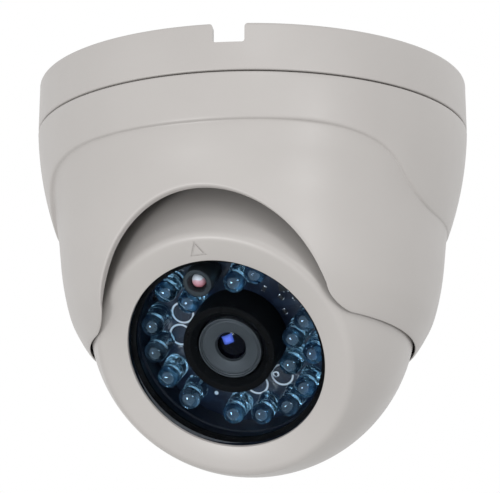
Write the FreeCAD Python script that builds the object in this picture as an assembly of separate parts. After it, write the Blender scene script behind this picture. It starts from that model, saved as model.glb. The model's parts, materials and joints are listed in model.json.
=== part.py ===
"""Ceiling dome camera: a mounting base, a housing that pans under it, a cradle that tilts
in the housing, a ball that rolls in the cradle, and a lens that turns in its holder.

Millimetres, +Z up. The origin is the centre of the ceiling face, so the camera hangs below
Z = 0. The cable notch of the base faces -Y. Each sub-part is one STEP file in parts/.

Two helper frames are used. The turret frame has its front at -Y and is turned about Z by
TURRET_AZIMUTH. The lens frame has its origin at the ball centre, +Z out through the lens
and +Y at the top of the picture; it is turned about Z by BALL_AZIMUTH.
"""

import FreeCAD
import Part
import math
import os

from FreeCAD import Vector

# ---------------------------------------------------------------- driving dimensions

TURRET_AZIMUTH = -11.0      # where the housing faces, about Z from the cable notch
BALL_AZIMUTH = -15.5        # where the ball faces; its tilt axis sits 4.5 degrees round in the housing
TILT_DOWN = 40.6            # the lens axis below the horizontal

BASE_TOP_RADIUS = 46.8
BASE_SEAM_RADIUS = 47.15
BASE_HEIGHT = 10.8
BASE_WALL = 2.4
FLOOR_TOP = -5.8            # the floor plate of the base, set back from the ceiling
FLOOR_THICKNESS = 2.5
NOTCH_WIDTH = 7.0
NOTCH_DEPTH = 4.4
NOTCH_ROUNDING = 1.0        # where the sides of the notch meet the rim
CEILING_SCREW_CIRCLE = 66.0
CEILING_SCREW_COUNT = 3
CEILING_HOLE_RADIUS = 2.2
CEILING_BOSS_RADIUS = 4.2

HUB_RADIUS = 11.0           # the fixed hub that the housing pans round
HUB_BORE_RADIUS = 7.0
HUB_BOTTOM = -12.3
CABLE_HOLE_RADIUS = 2.6

RUNNING_FIT = 0.08          # radial clearance of a turning fit

PLATE_TOP = -9.0            # the turntable plate inside the top of the housing
PLATE_THICKNESS = 3.0
PLATE_RADIUS = 43.4

COVER_WALL = 2.4
COVER_TOP = -11.1
COVER_RIM = -60.5
SKIRT_CURVE_RADIUS = 75.0   # the long curve of the raised skirt, seen from the side
SKIRT_CURVE_LEVEL = -9.73
SKIRT_TOP_RADIUS = 47.2
SKIRT_FRONT_EDGE = -21.8
SKIRT_BACK_EDGE = -34.4
SKIRT_CORNER_RADIUS = 9.2
SKIRT_LEVEL_HALF = 32.2     # half the width of the level part of the skirt edge
ARCH_RADIUS = 26.5
ARCH_CENTRE_LEVEL = -61.9
ARCH_FLARE_RADIUS = 4.9     # where the arch turns outwards into the rim

BALL_CENTRE_LEVEL = -52.5
BALL_RADIUS = 35.9
BALL_WALL = 2.4
CAP_SEAM = -18.0            # along the lens axis from the ball centre
CAP_FLAT = -33.5
CREASE_RADIUS = 28.8
CREASE_HEIGHT = 21.5
BEZEL_INNER_RADIUS = 22.5
BEZEL_INNER_HEIGHT = 20.6

STRAP_INNER_RADIUS = 36.3
STRAP_OUTER_RADIUS = 37.3
STRAP_HALF_WIDTH = 4.5
PIVOT_PIN_RADIUS = 3.0
ROLL_HUB_RADIUS = 7.5

WINDOW_FRONT = 20.0
WINDOW_THICKNESS = 1.6
GASKET_THICKNESS = 0.6
LED_BOARD_FRONT = 9.0
LED_BOARD_THICKNESS = 1.6
LED_RADIUS = 2.5
LED_FLANGE_RADIUS = 2.65
LED_FLANGE_THICKNESS = 1.0
LED_DOME_CENTRE = 15.1
# each LED: distance from the lens axis, then the angle clockwise from the top of the picture
LED_PLACES = [
    (18.4, 103.5), (18.4, 131.0), (18.3, 151.0), (17.4, 172.0), (16.8, 193.7), (17.6, 228.7),
    (17.7, 250.2), (18.2, 270.6), (18.4, 290.8), (18.6, 319.5), (13.3, 325.5), (15.2, 16.1),
    (18.6, 30.5), (18.4, 78.5), (14.2, 91.0), (13.5, 117.9),
]
PHOTOCELL_DISTANCE = 16.2
PHOTOCELL_ANGLE = -14.0
PHOTOCELL_RADIUS = 1.7
PHOTOCELL_DOME_CENTRE = 14.6
SLEEVE_OUTER_RADIUS = 3.3

LENS_THREAD_RADIUS = 6.0
LENS_HEAD_RADIUS = 7.15
LENS_FRONT = 17.6
LENS_BACK = 7.0
SHIELD_INNER_RADIUS = 7.6
SHIELD_OUTER_RADIUS = 10.5
SENSOR_BOARD_FRONT = 3.0
SENSOR_BOARD_THICKNESS = 1.2
SENSOR_BOARD_SIDE = 32.0
POWER_BOARD_FRONT = -9.0

FAR = 80.0                  # longer than anything here, for cutting tools

Z_AXIS = Vector(0, 0, 1)
X_AXIS = Vector(1, 0, 0)
ORIGIN = Vector(0, 0, 0)


# ---------------------------------------------------------------- helpers

def tube(outer, inner, bottom, top, x=0.0, y=0.0):
    """An upright round bar, or a tube if inner is above zero."""
    place = Vector(x, y, bottom)
    solid = Part.makeCylinder(outer, top - bottom, place)
    if inner > 0:
        solid = solid.cut(Part.makeCylinder(inner, top - bottom, place))
    return solid


def block(x_size, y_size, bottom, top, x=0.0, y=0.0):
    """An upright block centred on x, y."""
    return Part.makeBox(x_size, y_size, top - bottom, Vector(x - x_size / 2, y - y_size / 2, bottom))


def closed_wire(edges):
    """One closed wire from edges given in any order."""
    return Part.Wire(Part.__sortEdges__(edges))


def revolve(edges):
    """The solid swept by a closed outline in the XZ plane, turned once about Z."""
    face = Part.Face(closed_wire(edges))
    return face.revolve(ORIGIN, Z_AXIS, 360)


def flat(radius, level):
    """A point of an outline in the XZ plane."""
    return Vector(radius, 0, level)


def lines(points):
    """Straight edges from each point to the next."""
    return [Part.makeLine(a, b) for a, b in zip(points, points[1:])]


def arc(a, middle, b):
    return Part.Arc(a, middle, b).toShape()


def on_sphere(radius, level):
    """The outline point of a sphere about the origin at this level."""
    return flat(math.sqrt(radius ** 2 - level ** 2), level)


def polar(distance, clockwise_angle):
    """X and Y of a place given clockwise from +Y."""
    turn = math.radians(clockwise_angle)
    return distance * math.sin(turn), distance * math.cos(turn)


def ring_of(shape, count, first_angle=0.0):
    """Copies of a shape, evenly turned about Z."""
    copies = []
    for i in range(count):
        copy = shape.copy()
        copy.rotate(ORIGIN, Z_AXIS, first_angle + 360.0 * i / count)
        copies.append(copy)
    return copies


def group(shapes):
    """Separate solids kept in one node."""
    return Part.makeCompound(shapes)


def countersunk_screw(shank_radius, head_radius, head_face, tip):
    """A flat-headed screw with its face at head_face; it points down if tip is lower."""
    way = 1 if head_face > tip else -1
    depth = head_radius - shank_radius
    neck = head_face - way * depth
    head = Part.makeCone(head_radius, shank_radius, depth, Vector(0, 0, head_face), Vector(0, 0, -way))
    shank = tube(shank_radius, 0, min(neck, tip), max(neck, tip))
    slot = block(2 * head_radius, 0.5, head_face - 0.4, head_face + 0.4)
    return head.fuse(shank).cut(slot).removeSplitter()


def countersink(shank_radius, head_radius, face, way):
    """The conical seat of a countersunk head, cut down (way 1) or up (way -1) from a face."""
    depth = head_radius - shank_radius
    return Part.makeCone(head_radius, shank_radius, depth, Vector(0, 0, face), Vector(0, 0, -way))


def to_turret(shape):
    """From the turret frame to the frame of the part."""
    placed = shape.copy()
    placed.rotate(ORIGIN, Z_AXIS, TURRET_AZIMUTH)
    return placed


def to_ball(shape):
    """From the lens frame to the frame of the part."""
    placed = shape.copy()
    placed.rotate(ORIGIN, X_AXIS, 90.0 + TILT_DOWN)
    placed.translate(Vector(0, 0, BALL_CENTRE_LEVEL))
    placed.rotate(ORIGIN, Z_AXIS, BALL_AZIMUTH)
    return placed


# ---------------------------------------------------------------- mounting base

def mounting_base():
    """The ring against the ceiling, with its floor plate, screw bosses and pan hub."""
    floor_bottom = FLOOR_TOP - FLOOR_THICKNESS
    inner = BASE_TOP_RADIUS - BASE_WALL
    edge = 0.8
    outline = lines([
        flat(HUB_BORE_RADIUS, FLOOR_TOP),
        flat(inner, FLOOR_TOP),
        flat(inner, 0),
        flat(BASE_TOP_RADIUS - edge, 0),
    ])
    outline.append(arc(flat(BASE_TOP_RADIUS - edge, 0),
                       flat(BASE_TOP_RADIUS - edge * 0.29, -edge * 0.29),
                       flat(BASE_TOP_RADIUS, -edge)))
    outline += lines([
        flat(BASE_TOP_RADIUS, -edge),
        flat(BASE_SEAM_RADIUS, -BASE_HEIGHT + 0.3),
        flat(BASE_SEAM_RADIUS - 0.3, -BASE_HEIGHT),
        flat(inner, -BASE_HEIGHT),
        flat(inner, floor_bottom),
        flat(HUB_RADIUS, floor_bottom),
        flat(HUB_RADIUS, HUB_BOTTOM),
        flat(HUB_BORE_RADIUS, HUB_BOTTOM),
        flat(HUB_BORE_RADIUS, FLOOR_TOP),
    ])
    body = revolve(outline)
    bosses = ring_of(tube(CEILING_BOSS_RADIUS, 0, floor_bottom, 0, 0, CEILING_SCREW_CIRCLE / 2),
                     CEILING_SCREW_COUNT)
    body = body.fuse(bosses)
    holes = ring_of(tube(CEILING_HOLE_RADIUS, 0, floor_bottom - 1, 1, 0, CEILING_SCREW_CIRCLE / 2),
                    CEILING_SCREW_COUNT)
    return body.cut(holes).cut(cable_notch()).cut(hub_screw_holes()).removeSplitter()


def cable_notch():
    """The cable way through the wall of the base, its sides rounding into the rim."""
    half = NOTCH_WIDTH / 2
    wide = half + NOTCH_ROUNDING
    swing = NOTCH_ROUNDING * (1 - math.sqrt(0.5))
    right = Vector(half, 0, -NOTCH_ROUNDING)
    left = Vector(-half, 0, -NOTCH_ROUNDING)
    edges = [
        arc(right, Vector(half + swing, 0, -swing), Vector(wide, 0, 0)),
        arc(Vector(-wide, 0, 0), Vector(-half - swing, 0, -swing), left),
    ]
    edges += lines([left, Vector(-half, 0, -NOTCH_DEPTH), Vector(half, 0, -NOTCH_DEPTH), right])
    edges += lines([Vector(wide, 0, 0), Vector(wide, 0, 1), Vector(-wide, 0, 1), Vector(-wide, 0, 0)])
    tool = Part.Face(closed_wire(edges)).extrude(Vector(0, -10, 0))
    tool.translate(Vector(0, -BASE_TOP_RADIUS + 5, 0))
    return tool


RING_SCREW_CIRCLE = 9.0
RING_SCREW_RADIUS = 1.0
RING_SCREW_HEAD = 1.9
RING_THICKNESS = 1.5


def hub_screw_holes():
    hole = tube(RING_SCREW_RADIUS, 0, HUB_BOTTOM, HUB_BOTTOM + 4.5, RING_SCREW_CIRCLE, 0)
    return group(ring_of(hole, 3))


def retaining_ring():
    """The ring screwed under the hub, which carries the housing."""
    low = HUB_BOTTOM - RING_THICKNESS
    ring = tube(15.0, HUB_BORE_RADIUS + 0.2, low, HUB_BOTTOM)
    hole = tube(RING_SCREW_RADIUS, 0, low, HUB_BOTTOM)
    hole = hole.fuse(countersink(RING_SCREW_RADIUS, RING_SCREW_HEAD, low, -1))
    hole.translate(Vector(RING_SCREW_CIRCLE, 0, 0))
    return ring.cut(ring_of(hole, 3))


def retaining_ring_screws():
    screw = countersunk_screw(RING_SCREW_RADIUS, RING_SCREW_HEAD, HUB_BOTTOM - RING_THICKNESS,
                              HUB_BOTTOM + 4.5)
    screw.translate(Vector(RING_SCREW_CIRCLE, 0, 0))
    return group(ring_of(screw, 3))


def base_cable_grommet():
    """The rubber bush that lines the hub, where the cable leaves."""
    body = tube(HUB_BORE_RADIUS, 0, HUB_BOTTOM, FLOOR_TOP)
    flange = tube(9.0, 0, FLOOR_TOP, FLOOR_TOP + 1.6)
    lip = Part.makeCone(6.0, 4.6, 1.2, Vector(0, 0, FLOOR_TOP + 1.6))
    bore = tube(CABLE_HOLE_RADIUS, 0, HUB_BOTTOM - 1, FLOOR_TOP + 4)
    return body.fuse([flange, lip]).cut(bore).removeSplitter()


def pan_friction_washer():
    """The felt washer between the base and the turntable."""
    top = FLOOR_TOP - FLOOR_THICKNESS
    return tube(26.0, 16.0, top - 0.6, top)


# ---------------------------------------------------------------- housing

COVER_SCREW_DISTANCE = 39.4
COVER_SCREW_RADIUS = 1.5
COVER_SCREW_HEAD = 2.8
COVER_LUG_BOTTOM = -20.0


def turntable_plate():
    """The plate that turns round the hub and carries the cover."""
    low = PLATE_TOP - PLATE_THICKNESS
    plate = tube(PLATE_RADIUS, HUB_RADIUS + RUNNING_FIT, low, PLATE_TOP)
    access_holes = ring_of(tube(4.6, 0, low, PLATE_TOP, 0, CEILING_SCREW_CIRCLE / 2), 3, 60)
    hole = tube(COVER_SCREW_RADIUS, 0, low, PLATE_TOP)
    hole = hole.fuse(countersink(COVER_SCREW_RADIUS, COVER_SCREW_HEAD, PLATE_TOP, 1))
    hole.translate(Vector(0, COVER_SCREW_DISTANCE, 0))
    return to_turret(plate.cut(access_holes).cut(ring_of(hole, 3)))


def cover_screws():
    screw = countersunk_screw(COVER_SCREW_RADIUS, COVER_SCREW_HEAD, PLATE_TOP, COVER_LUG_BOTTOM + 1.5)
    screw.translate(Vector(0, COVER_SCREW_DISTANCE, 0))
    return to_turret(group(ring_of(screw, 3)))


def dome_curve(inset, bottom_points):
    """The side outline of the dome, moved inwards by inset, down to bottom_points."""
    points = [
        flat(46.5 - inset, COVER_TOP),
        flat(45.45 - inset, -22.0),
        flat(43.6 - inset, -30.0),
        flat(42.55 - inset, -36.0),
        flat(42.05 - inset, -42.0),
        flat(41.2 - inset, -48.0),
    ] + bottom_points
    curve = Part.BSplineCurve()
    curve.interpolate(points)
    return curve.toShape(), points[0], points[-1]


def dome_wall():
    """The plain dome, turned in one piece, before anything is cut in it."""
    outside, top_out, rim_out = dome_curve(
        0.0, [flat(39.65, -54.0), flat(38.4, -56.6), flat(36.9, -59.2), flat(35.95, COVER_RIM)])
    inside, top_in, rim_in = dome_curve(
        COVER_WALL, [flat(37.95, -53.0), flat(37.3, -57.1)])
    lip = lines([rim_out, flat(35.5, COVER_RIM + 0.1), flat(36.2, -59.0), rim_in])
    return revolve([outside, inside] + lines([top_out, top_in]) + lip)


def skirt_radius(level):
    """The outside of the raised skirt at this level."""
    centre = SKIRT_TOP_RADIUS - SKIRT_CURVE_RADIUS
    return centre + math.sqrt(SKIRT_CURVE_RADIUS ** 2 - (level - SKIRT_CURVE_LEVEL) ** 2)


def raised_skirt():
    """The upper layer of the housing, its lower edge high at the front and low at the back."""
    top = flat(skirt_radius(COVER_TOP) - 0.3, COVER_TOP)
    shoulder = flat(skirt_radius(COVER_TOP - 0.3), COVER_TOP - 0.3)
    middle_level = (COVER_TOP + SKIRT_BACK_EDGE) / 2
    bottom = flat(skirt_radius(SKIRT_BACK_EDGE), SKIRT_BACK_EDGE)
    edges = lines([top, shoulder])
    edges.append(arc(shoulder, flat(skirt_radius(middle_level), middle_level), bottom))
    inside = flat(41.8, SKIRT_BACK_EDGE)
    edges += lines([bottom, inside, flat(45.0, COVER_TOP - 2.0), flat(45.0, COVER_TOP), top])
    return revolve(edges).cut(skirt_cutter())


def skirt_cutter():
    """The front outline below the skirt: level, then rounding down into steep sides."""
    half = SKIRT_LEVEL_HALF
    side = half + SKIRT_CORNER_RADIUS
    swing = SKIRT_CORNER_RADIUS * (1 - math.sqrt(0.5))
    high = SKIRT_FRONT_EDGE
    low = high - SKIRT_CORNER_RADIUS
    foot_half = side + 1.6
    foot_level = low - 4.2
    edges = [
        arc(Vector(-side, 0, low), Vector(-side + swing, 0, high - swing), Vector(-half, 0, high)),
        arc(Vector(half, 0, high), Vector(side - swing, 0, high - swing), Vector(side, 0, low)),
    ]
    edges += lines([Vector(-half, 0, high), Vector(half, 0, high)])
    edges += lines([Vector(side, 0, low), Vector(foot_half, 0, foot_level), Vector(foot_half, 0, -FAR),
                    Vector(-foot_half, 0, -FAR), Vector(-foot_half, 0, foot_level), Vector(-side, 0, low)])
    return Part.Face(closed_wire(edges)).extrude(Vector(0, -FAR, 0))


def arch_cutter():
    """The opening that the ball looks out of: a round arch flaring into the lower rim."""
    foot_level = COVER_RIM - 0.3
    flare = ARCH_FLARE_RADIUS
    flare_level = foot_level + flare
    half = math.sqrt(ARCH_RADIUS ** 2 - (flare_level - ARCH_CENTRE_LEVEL) ** 2)
    swing = flare * (1 - math.sqrt(0.5))
    top = Vector(0, 0, ARCH_CENTRE_LEVEL + ARCH_RADIUS)
    left = Vector(-half, 0, flare_level)
    right = Vector(half, 0, flare_level)
    left_foot = Vector(-half - flare, 0, foot_level)
    right_foot = Vector(half + flare, 0, foot_level)
    edges = [
        arc(left, top, right),
        arc(right, Vector(half + swing, 0, foot_level + swing), right_foot),
        arc(left_foot, Vector(-half - swing, 0, foot_level + swing), left),
    ]
    edges += lines([right_foot, Vector(half + flare, 0, -FAR), Vector(-half - flare, 0, -FAR), left_foot])
    tool = Part.Face(closed_wire(edges)).extrude(Vector(0, -FAR, 0))
    tool.translate(Vector(0, -6.0, 0))
    return tool


def cover_lugs():
    """The three lugs inside the top of the cover that the plate is screwed to."""
    low = COVER_LUG_BOTTOM
    top = PLATE_TOP - PLATE_THICKNESS
    lug = block(9.0, 9.0, low, top, 0, 36.2 + 4.5)
    shape = lug.common(tube(43.6, 0, low, top))
    hole = tube(COVER_SCREW_RADIUS, 0, low + 1.5, top, 0, COVER_SCREW_DISTANCE)
    return ring_of(shape.cut(hole), 3)


def pivot_pockets():
    """The blind holes in the ears of the cover that the tilt pins turn in."""
    start = Vector(35.0, 0, BALL_CENTRE_LEVEL)
    pocket = Part.makeCylinder(PIVOT_PIN_RADIUS + RUNNING_FIT, 4.2, start, X_AXIS)
    return ring_of(pocket, 2, BALL_AZIMUTH - TURRET_AZIMUTH)


def housing_cover():
    """The moulded outer housing."""
    cover = dome_wall().fuse(raised_skirt())
    cover = cover.cut(arch_cutter())
    cover = cover.fuse(cover_lugs())
    cover = cover.cut(pivot_pockets())
    return to_turret(cover.removeSplitter())


# ---------------------------------------------------------------- cradle

def tilt_cradle():
    """The steel strap that runs over the back of the ball from one tilt pin to the other."""
    shell = Part.makeSphere(STRAP_OUTER_RADIUS).cut(Part.makeSphere(STRAP_INNER_RADIUS))
    shell = shell.common(tube(FAR, 0, -FAR, 4.5))
    band = block(FAR * 2, 2 * STRAP_HALF_WIDTH, -FAR, 0)
    eyes = Part.makeCylinder(STRAP_HALF_WIDTH, 2 * FAR, Vector(-FAR, 0, 0), X_AXIS)
    collar_radius = 13.2
    collar_zone = tube(collar_radius, 0, -FAR, 0)
    strap = shell.common(band.fuse([eyes, collar_zone]))
    collar_front = -math.sqrt(STRAP_INNER_RADIUS ** 2 - collar_radius ** 2)
    strap = strap.cut(tube(collar_radius - 0.4, 0, -FAR, 0))
    collar = tube(collar_radius, 0, collar_front - 1.0, collar_front)
    collar = collar.common(Part.makeSphere(STRAP_OUTER_RADIUS))
    strap = strap.fuse(collar)
    strap = strap.cut(tube(ROLL_HUB_RADIUS + RUNNING_FIT, 0, -FAR, 0))
    pin_holes = Part.makeCylinder(PIVOT_PIN_RADIUS, 2 * FAR, Vector(-FAR, 0, 0), X_AXIS)
    return to_ball(strap.cut(pin_holes).removeSplitter())


def tilt_pins():
    """The two short pins riveted in the ends of the strap."""
    pin = Part.makeCylinder(PIVOT_PIN_RADIUS, 2.6, Vector(36.4, 0, 0), X_AXIS)
    return to_ball(group(ring_of(pin, 2)))


# ---------------------------------------------------------------- ball

def ball_shell():
    """The front of the ball in one moulding: shell, sloping bezel and the pot behind it."""
    inner = BALL_RADIUS - BALL_WALL
    pot_outer = BEZEL_INNER_RADIUS + 1.7
    ledge_inner = 20.2
    board_back = LED_BOARD_FRONT - LED_BOARD_THICKNESS
    bezel_back = CREASE_HEIGHT - 3.0
    round_size = 1.1
    slope = (CREASE_HEIGHT - BEZEL_INNER_HEIGHT) / (CREASE_RADIUS - BEZEL_INNER_RADIUS)
    crease_start = flat(CREASE_RADIUS - round_size, CREASE_HEIGHT - round_size * slope)
    crease_end = on_sphere(BALL_RADIUS, CREASE_HEIGHT - round_size)
    crease_middle = flat(CREASE_RADIUS - 0.1, CREASE_HEIGHT - 0.3)
    seam_out = on_sphere(BALL_RADIUS, CAP_SEAM)
    seam_in = on_sphere(inner, CAP_SEAM)
    bezel_corner = on_sphere(inner, bezel_back)
    edges = lines([flat(BEZEL_INNER_RADIUS, BEZEL_INNER_HEIGHT), crease_start])
    edges.append(arc(crease_start, crease_middle, crease_end))
    edges.append(arc(crease_end, flat(BALL_RADIUS, 0), seam_out))
    edges += lines([seam_out, seam_in])
    edges.append(arc(seam_in, flat(inner, 0), bezel_corner))
    edges += lines([
        bezel_corner,
        flat(pot_outer, bezel_back),
        flat(pot_outer, board_back - 1.5),
        flat(ledge_inner, board_back - 1.5),
        flat(ledge_inner, board_back),
        flat(BEZEL_INNER_RADIUS, board_back),
        flat(BEZEL_INNER_RADIUS, BEZEL_INNER_HEIGHT),
    ])
    shell = revolve(edges)
    bosses = [boss.common(Part.makeSphere(inner + 0.5)) for boss in cap_screw_bosses(CAP_SEAM, CAP_SEAM + 8)]
    shell = shell.fuse(bosses)
    shell = shell.cut(ring_of(cap_screw_hole(CAP_SEAM - 1, CAP_SEAM + 6), 3))
    return to_ball(shell.cut(up_mark()).removeSplitter())


def up_mark():
    """A small engraved triangle on the bezel that shows which way up the picture is."""
    groove = 0.4
    deep = 0.25
    slope = math.degrees(math.atan2(CREASE_HEIGHT - BEZEL_INNER_HEIGHT, CREASE_RADIUS - BEZEL_INNER_RADIUS))
    middle = 25.8
    surface = BEZEL_INNER_HEIGHT + (middle - BEZEL_INNER_RADIUS) * math.tan(math.radians(slope))

    def prism(half_width, base, tip):
        corners = [Vector(-half_width, base, -deep), Vector(half_width, base, -deep), Vector(0, tip, -deep)]
        face = Part.Face(Part.makePolygon(corners + corners[:1]))
        return face.extrude(Vector(0, 0, 2.0))

    mark = prism(1.9, -1.8, 2.0).cut(prism(1.9 - 1.75 * groove, -1.8 + groove, 2.0 - 2.3 * groove))
    mark.rotate(ORIGIN, X_AXIS, slope)
    mark.translate(Vector(0, middle, surface))
    return mark


CAP_SCREW_DISTANCE = 25.6
CAP_SCREW_RADIUS = 1.1


def cap_screw_bosses(bottom, top):
    """Three posts just inside the wall of the ball."""
    return ring_of(tube(2.8, 0, bottom, top, 0, CAP_SCREW_DISTANCE), 3, 60)


def cap_screw_hole(bottom, top):
    hole = tube(CAP_SCREW_RADIUS, 0, bottom, top, 0, CAP_SCREW_DISTANCE)
    hole.rotate(ORIGIN, Z_AXIS, 60)
    return hole


def cap_head_pocket():
    """The sunk hole in the cap that takes a screw head."""
    pocket = tube(2.2, 0, -FAR, CAP_SEAM - 3.4, 0, CAP_SCREW_DISTANCE)
    pocket.rotate(ORIGIN, Z_AXIS, 60)
    return pocket


def ball_rear_cap():
    """The back of the ball, with the hub that rolls in the collar of the cradle."""
    inner = BALL_RADIUS - BALL_WALL
    flat_outer = on_sphere(BALL_RADIUS, CAP_FLAT)
    flat_inner = on_sphere(inner, CAP_FLAT + BALL_WALL)
    seam_out = on_sphere(BALL_RADIUS, CAP_SEAM)
    seam_in = on_sphere(inner, CAP_SEAM)
    middle = (CAP_SEAM + CAP_FLAT) / 2
    edges = [arc(seam_out, on_sphere(BALL_RADIUS, middle), flat_outer)]
    edges += lines([
        flat_outer,
        flat(ROLL_HUB_RADIUS, CAP_FLAT),
        flat(ROLL_HUB_RADIUS, CAP_FLAT - 2.5),
        flat(4.5, CAP_FLAT - 2.5),
        flat(4.5, CAP_FLAT + BALL_WALL),
        flat_inner,
    ])
    edges.append(arc(flat_inner, on_sphere(inner, middle), seam_in))
    edges += lines([seam_in, seam_out])
    cap = revolve(edges)
    posts = [post.common(Part.makeSphere(inner + 0.5)) for post in cap_screw_bosses(CAP_SEAM - 9, CAP_SEAM)]
    cap = cap.fuse(posts)
    cap = cap.cut(ring_of(cap_screw_hole(CAP_SEAM - 12, CAP_SEAM), 3))
    cap = cap.cut(ring_of(cap_head_pocket(), 3))
    clip_groove = tube(ROLL_HUB_RADIUS, ROLL_HUB_RADIUS - 0.8, CAP_FLAT - 2.2, CAP_FLAT - 1.5)
    return to_ball(cap.cut(clip_groove).removeSplitter())


def ball_cap_screws():
    screw = tube(CAP_SCREW_RADIUS, 0, CAP_SEAM - 3.4, CAP_SEAM + 6, 0, CAP_SCREW_DISTANCE)
    head = tube(2.0, 0, CAP_SEAM - 4.8, CAP_SEAM - 3.4, 0, CAP_SCREW_DISTANCE)
    cross = block(2.6, 0.6, CAP_SEAM - 5.0, CAP_SEAM - 4.2, 0, CAP_SCREW_DISTANCE)
    cross = cross.fuse(block(0.6, 2.6, CAP_SEAM - 5.0, CAP_SEAM - 4.2, 0, CAP_SCREW_DISTANCE))
    screw = screw.fuse(head).cut(cross).removeSplitter()
    return to_ball(group(ring_of(screw, 3, 300)))


def roll_clip():
    """The spring clip in the groove of the roll hub, behind the collar."""
    clip = tube(9.6, ROLL_HUB_RADIUS - 0.8, CAP_FLAT - 2.2, CAP_FLAT - 1.5)
    gap = block(6.0, FAR, CAP_FLAT - 3, CAP_FLAT, 0, FAR / 2)
    return to_ball(clip.cut(gap))


def ball_cable_grommet():
    """The rubber bush where the cable enters the ball."""
    body = tube(4.5, 0, CAP_FLAT - 2.5, CAP_FLAT + BALL_WALL)
    flange = tube(6.0, 0, CAP_FLAT + BALL_WALL, CAP_FLAT + BALL_WALL + 1.2)
    bore = tube(CABLE_HOLE_RADIUS, 0, -FAR, 0)
    return to_ball(body.fuse(flange).cut(bore).removeSplitter())


# ---------------------------------------------------------------- behind the window

def front_window():
    return to_ball(tube(BEZEL_INNER_RADIUS - 0.05, 0, WINDOW_FRONT - WINDOW_THICKNESS, WINDOW_FRONT))


def window_gasket():
    top = WINDOW_FRONT - WINDOW_THICKNESS
    return to_ball(tube(BEZEL_INNER_RADIUS, BEZEL_INNER_RADIUS - 1.3, top - GASKET_THICKNESS, top))


def light_baffle():
    """The black lining of the pot between the board and the window."""
    top = WINDOW_FRONT - WINDOW_THICKNESS - GASKET_THICKNESS
    return to_ball(tube(BEZEL_INNER_RADIUS - 0.1, BEZEL_INNER_RADIUS - 1.1, LED_BOARD_FRONT, top))


def led_board():
    back = LED_BOARD_FRONT - LED_BOARD_THICKNESS
    return to_ball(tube(BEZEL_INNER_RADIUS - 0.2, 8.3, back, LED_BOARD_FRONT))


def infrared_led(distance, angle):
    """A clear round LED: flange, body and domed nose."""
    x, y = polar(distance, angle)
    flange_top = LED_BOARD_FRONT + LED_FLANGE_THICKNESS
    flange = tube(LED_FLANGE_RADIUS, 0, LED_BOARD_FRONT, flange_top, x, y)
    body = tube(LED_RADIUS, 0, LED_BOARD_FRONT, LED_DOME_CENTRE, x, y)
    nose = Part.makeSphere(LED_RADIUS, Vector(x, y, LED_DOME_CENTRE))
    nose = nose.common(tube(LED_RADIUS, 0, LED_DOME_CENTRE, FAR, x, y))
    inwards = math.atan2(-y, -x)
    side = block(2.0, 7.0, LED_BOARD_FRONT, flange_top, LED_RADIUS + 1.05, 0)
    side.rotate(ORIGIN, Z_AXIS, math.degrees(inwards))
    side.translate(Vector(x, y, 0))
    return to_ball(flange.cut(side).fuse([body, nose]).removeSplitter())


def photocell():
    """The daylight sensor, a small domed head on a stem."""
    x, y = polar(PHOTOCELL_DISTANCE, PHOTOCELL_ANGLE)
    radius, centre = PHOTOCELL_RADIUS, PHOTOCELL_DOME_CENTRE
    stem = tube(radius, 0, LED_BOARD_FRONT, centre, x, y)
    head = Part.makeSphere(radius, Vector(x, y, centre)).common(tube(radius, 0, centre, FAR, x, y))
    return to_ball(stem.fuse(head).removeSplitter())


def photocell_sleeve():
    x, y = polar(PHOTOCELL_DISTANCE, PHOTOCELL_ANGLE)
    return to_ball(tube(SLEEVE_OUTER_RADIUS, PHOTOCELL_RADIUS + 0.2, LED_BOARD_FRONT, 16.6, x, y))


def lens_light_shield():
    """The rubber ring that keeps LED light out of the lens."""
    top = WINDOW_FRONT - WINDOW_THICKNESS
    outer = tube(SHIELD_OUTER_RADIUS, SHIELD_INNER_RADIUS, LED_BOARD_FRONT, top)
    chamfer = Part.makeCone(SHIELD_INNER_RADIUS, SHIELD_INNER_RADIUS + 1.2, 1.2, Vector(0, 0, top - 1.2))
    return to_ball(outer.cut(chamfer))


HOLDER_RADIUS = 7.9
HOLDER_NECK_RADIUS = 7.3    # the neck passes through the LED board into the light shield
HOLDER_TOP = 11.6
HOLDER_SHOULDER = 7.0
HOLDER_BOTTOM = SENSOR_BOARD_FRONT
HOLDER_SCREW_X = 9.4
FOOT_THICKNESS = 2.0
SENSOR_ROOM_HEIGHT = 3.2
GRUB_LEVEL = 8.2
GRUB_RADIUS = 0.8


def lens_holder():
    """The threaded lens seat on the sensor board, with a foot on each side."""
    foot_top = HOLDER_BOTTOM + FOOT_THICKNESS
    body = tube(HOLDER_RADIUS, 0, HOLDER_BOTTOM, HOLDER_SHOULDER)
    neck = tube(HOLDER_NECK_RADIUS, 0, HOLDER_SHOULDER, HOLDER_TOP)
    foot = block(23.0, 14.0, HOLDER_BOTTOM, foot_top)
    bore = tube(LENS_THREAD_RADIUS + RUNNING_FIT, 0, HOLDER_BOTTOM + SENSOR_ROOM_HEIGHT, HOLDER_TOP)
    sensor_room = block(10.0, 10.0, HOLDER_BOTTOM, HOLDER_BOTTOM + SENSOR_ROOM_HEIGHT)
    feet_holes = [tube(0.9, 0, HOLDER_BOTTOM, foot_top, x, 0) for x in (-HOLDER_SCREW_X, HOLDER_SCREW_X)]
    grub_start = Vector(0, -HOLDER_NECK_RADIUS - 0.5, GRUB_LEVEL)
    grub = Part.makeCylinder(GRUB_RADIUS, 3.0, grub_start, Vector(0, 1, 0))
    return to_ball(body.fuse([neck, foot]).cut([bore, sensor_room, grub] + feet_holes).removeSplitter())


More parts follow.
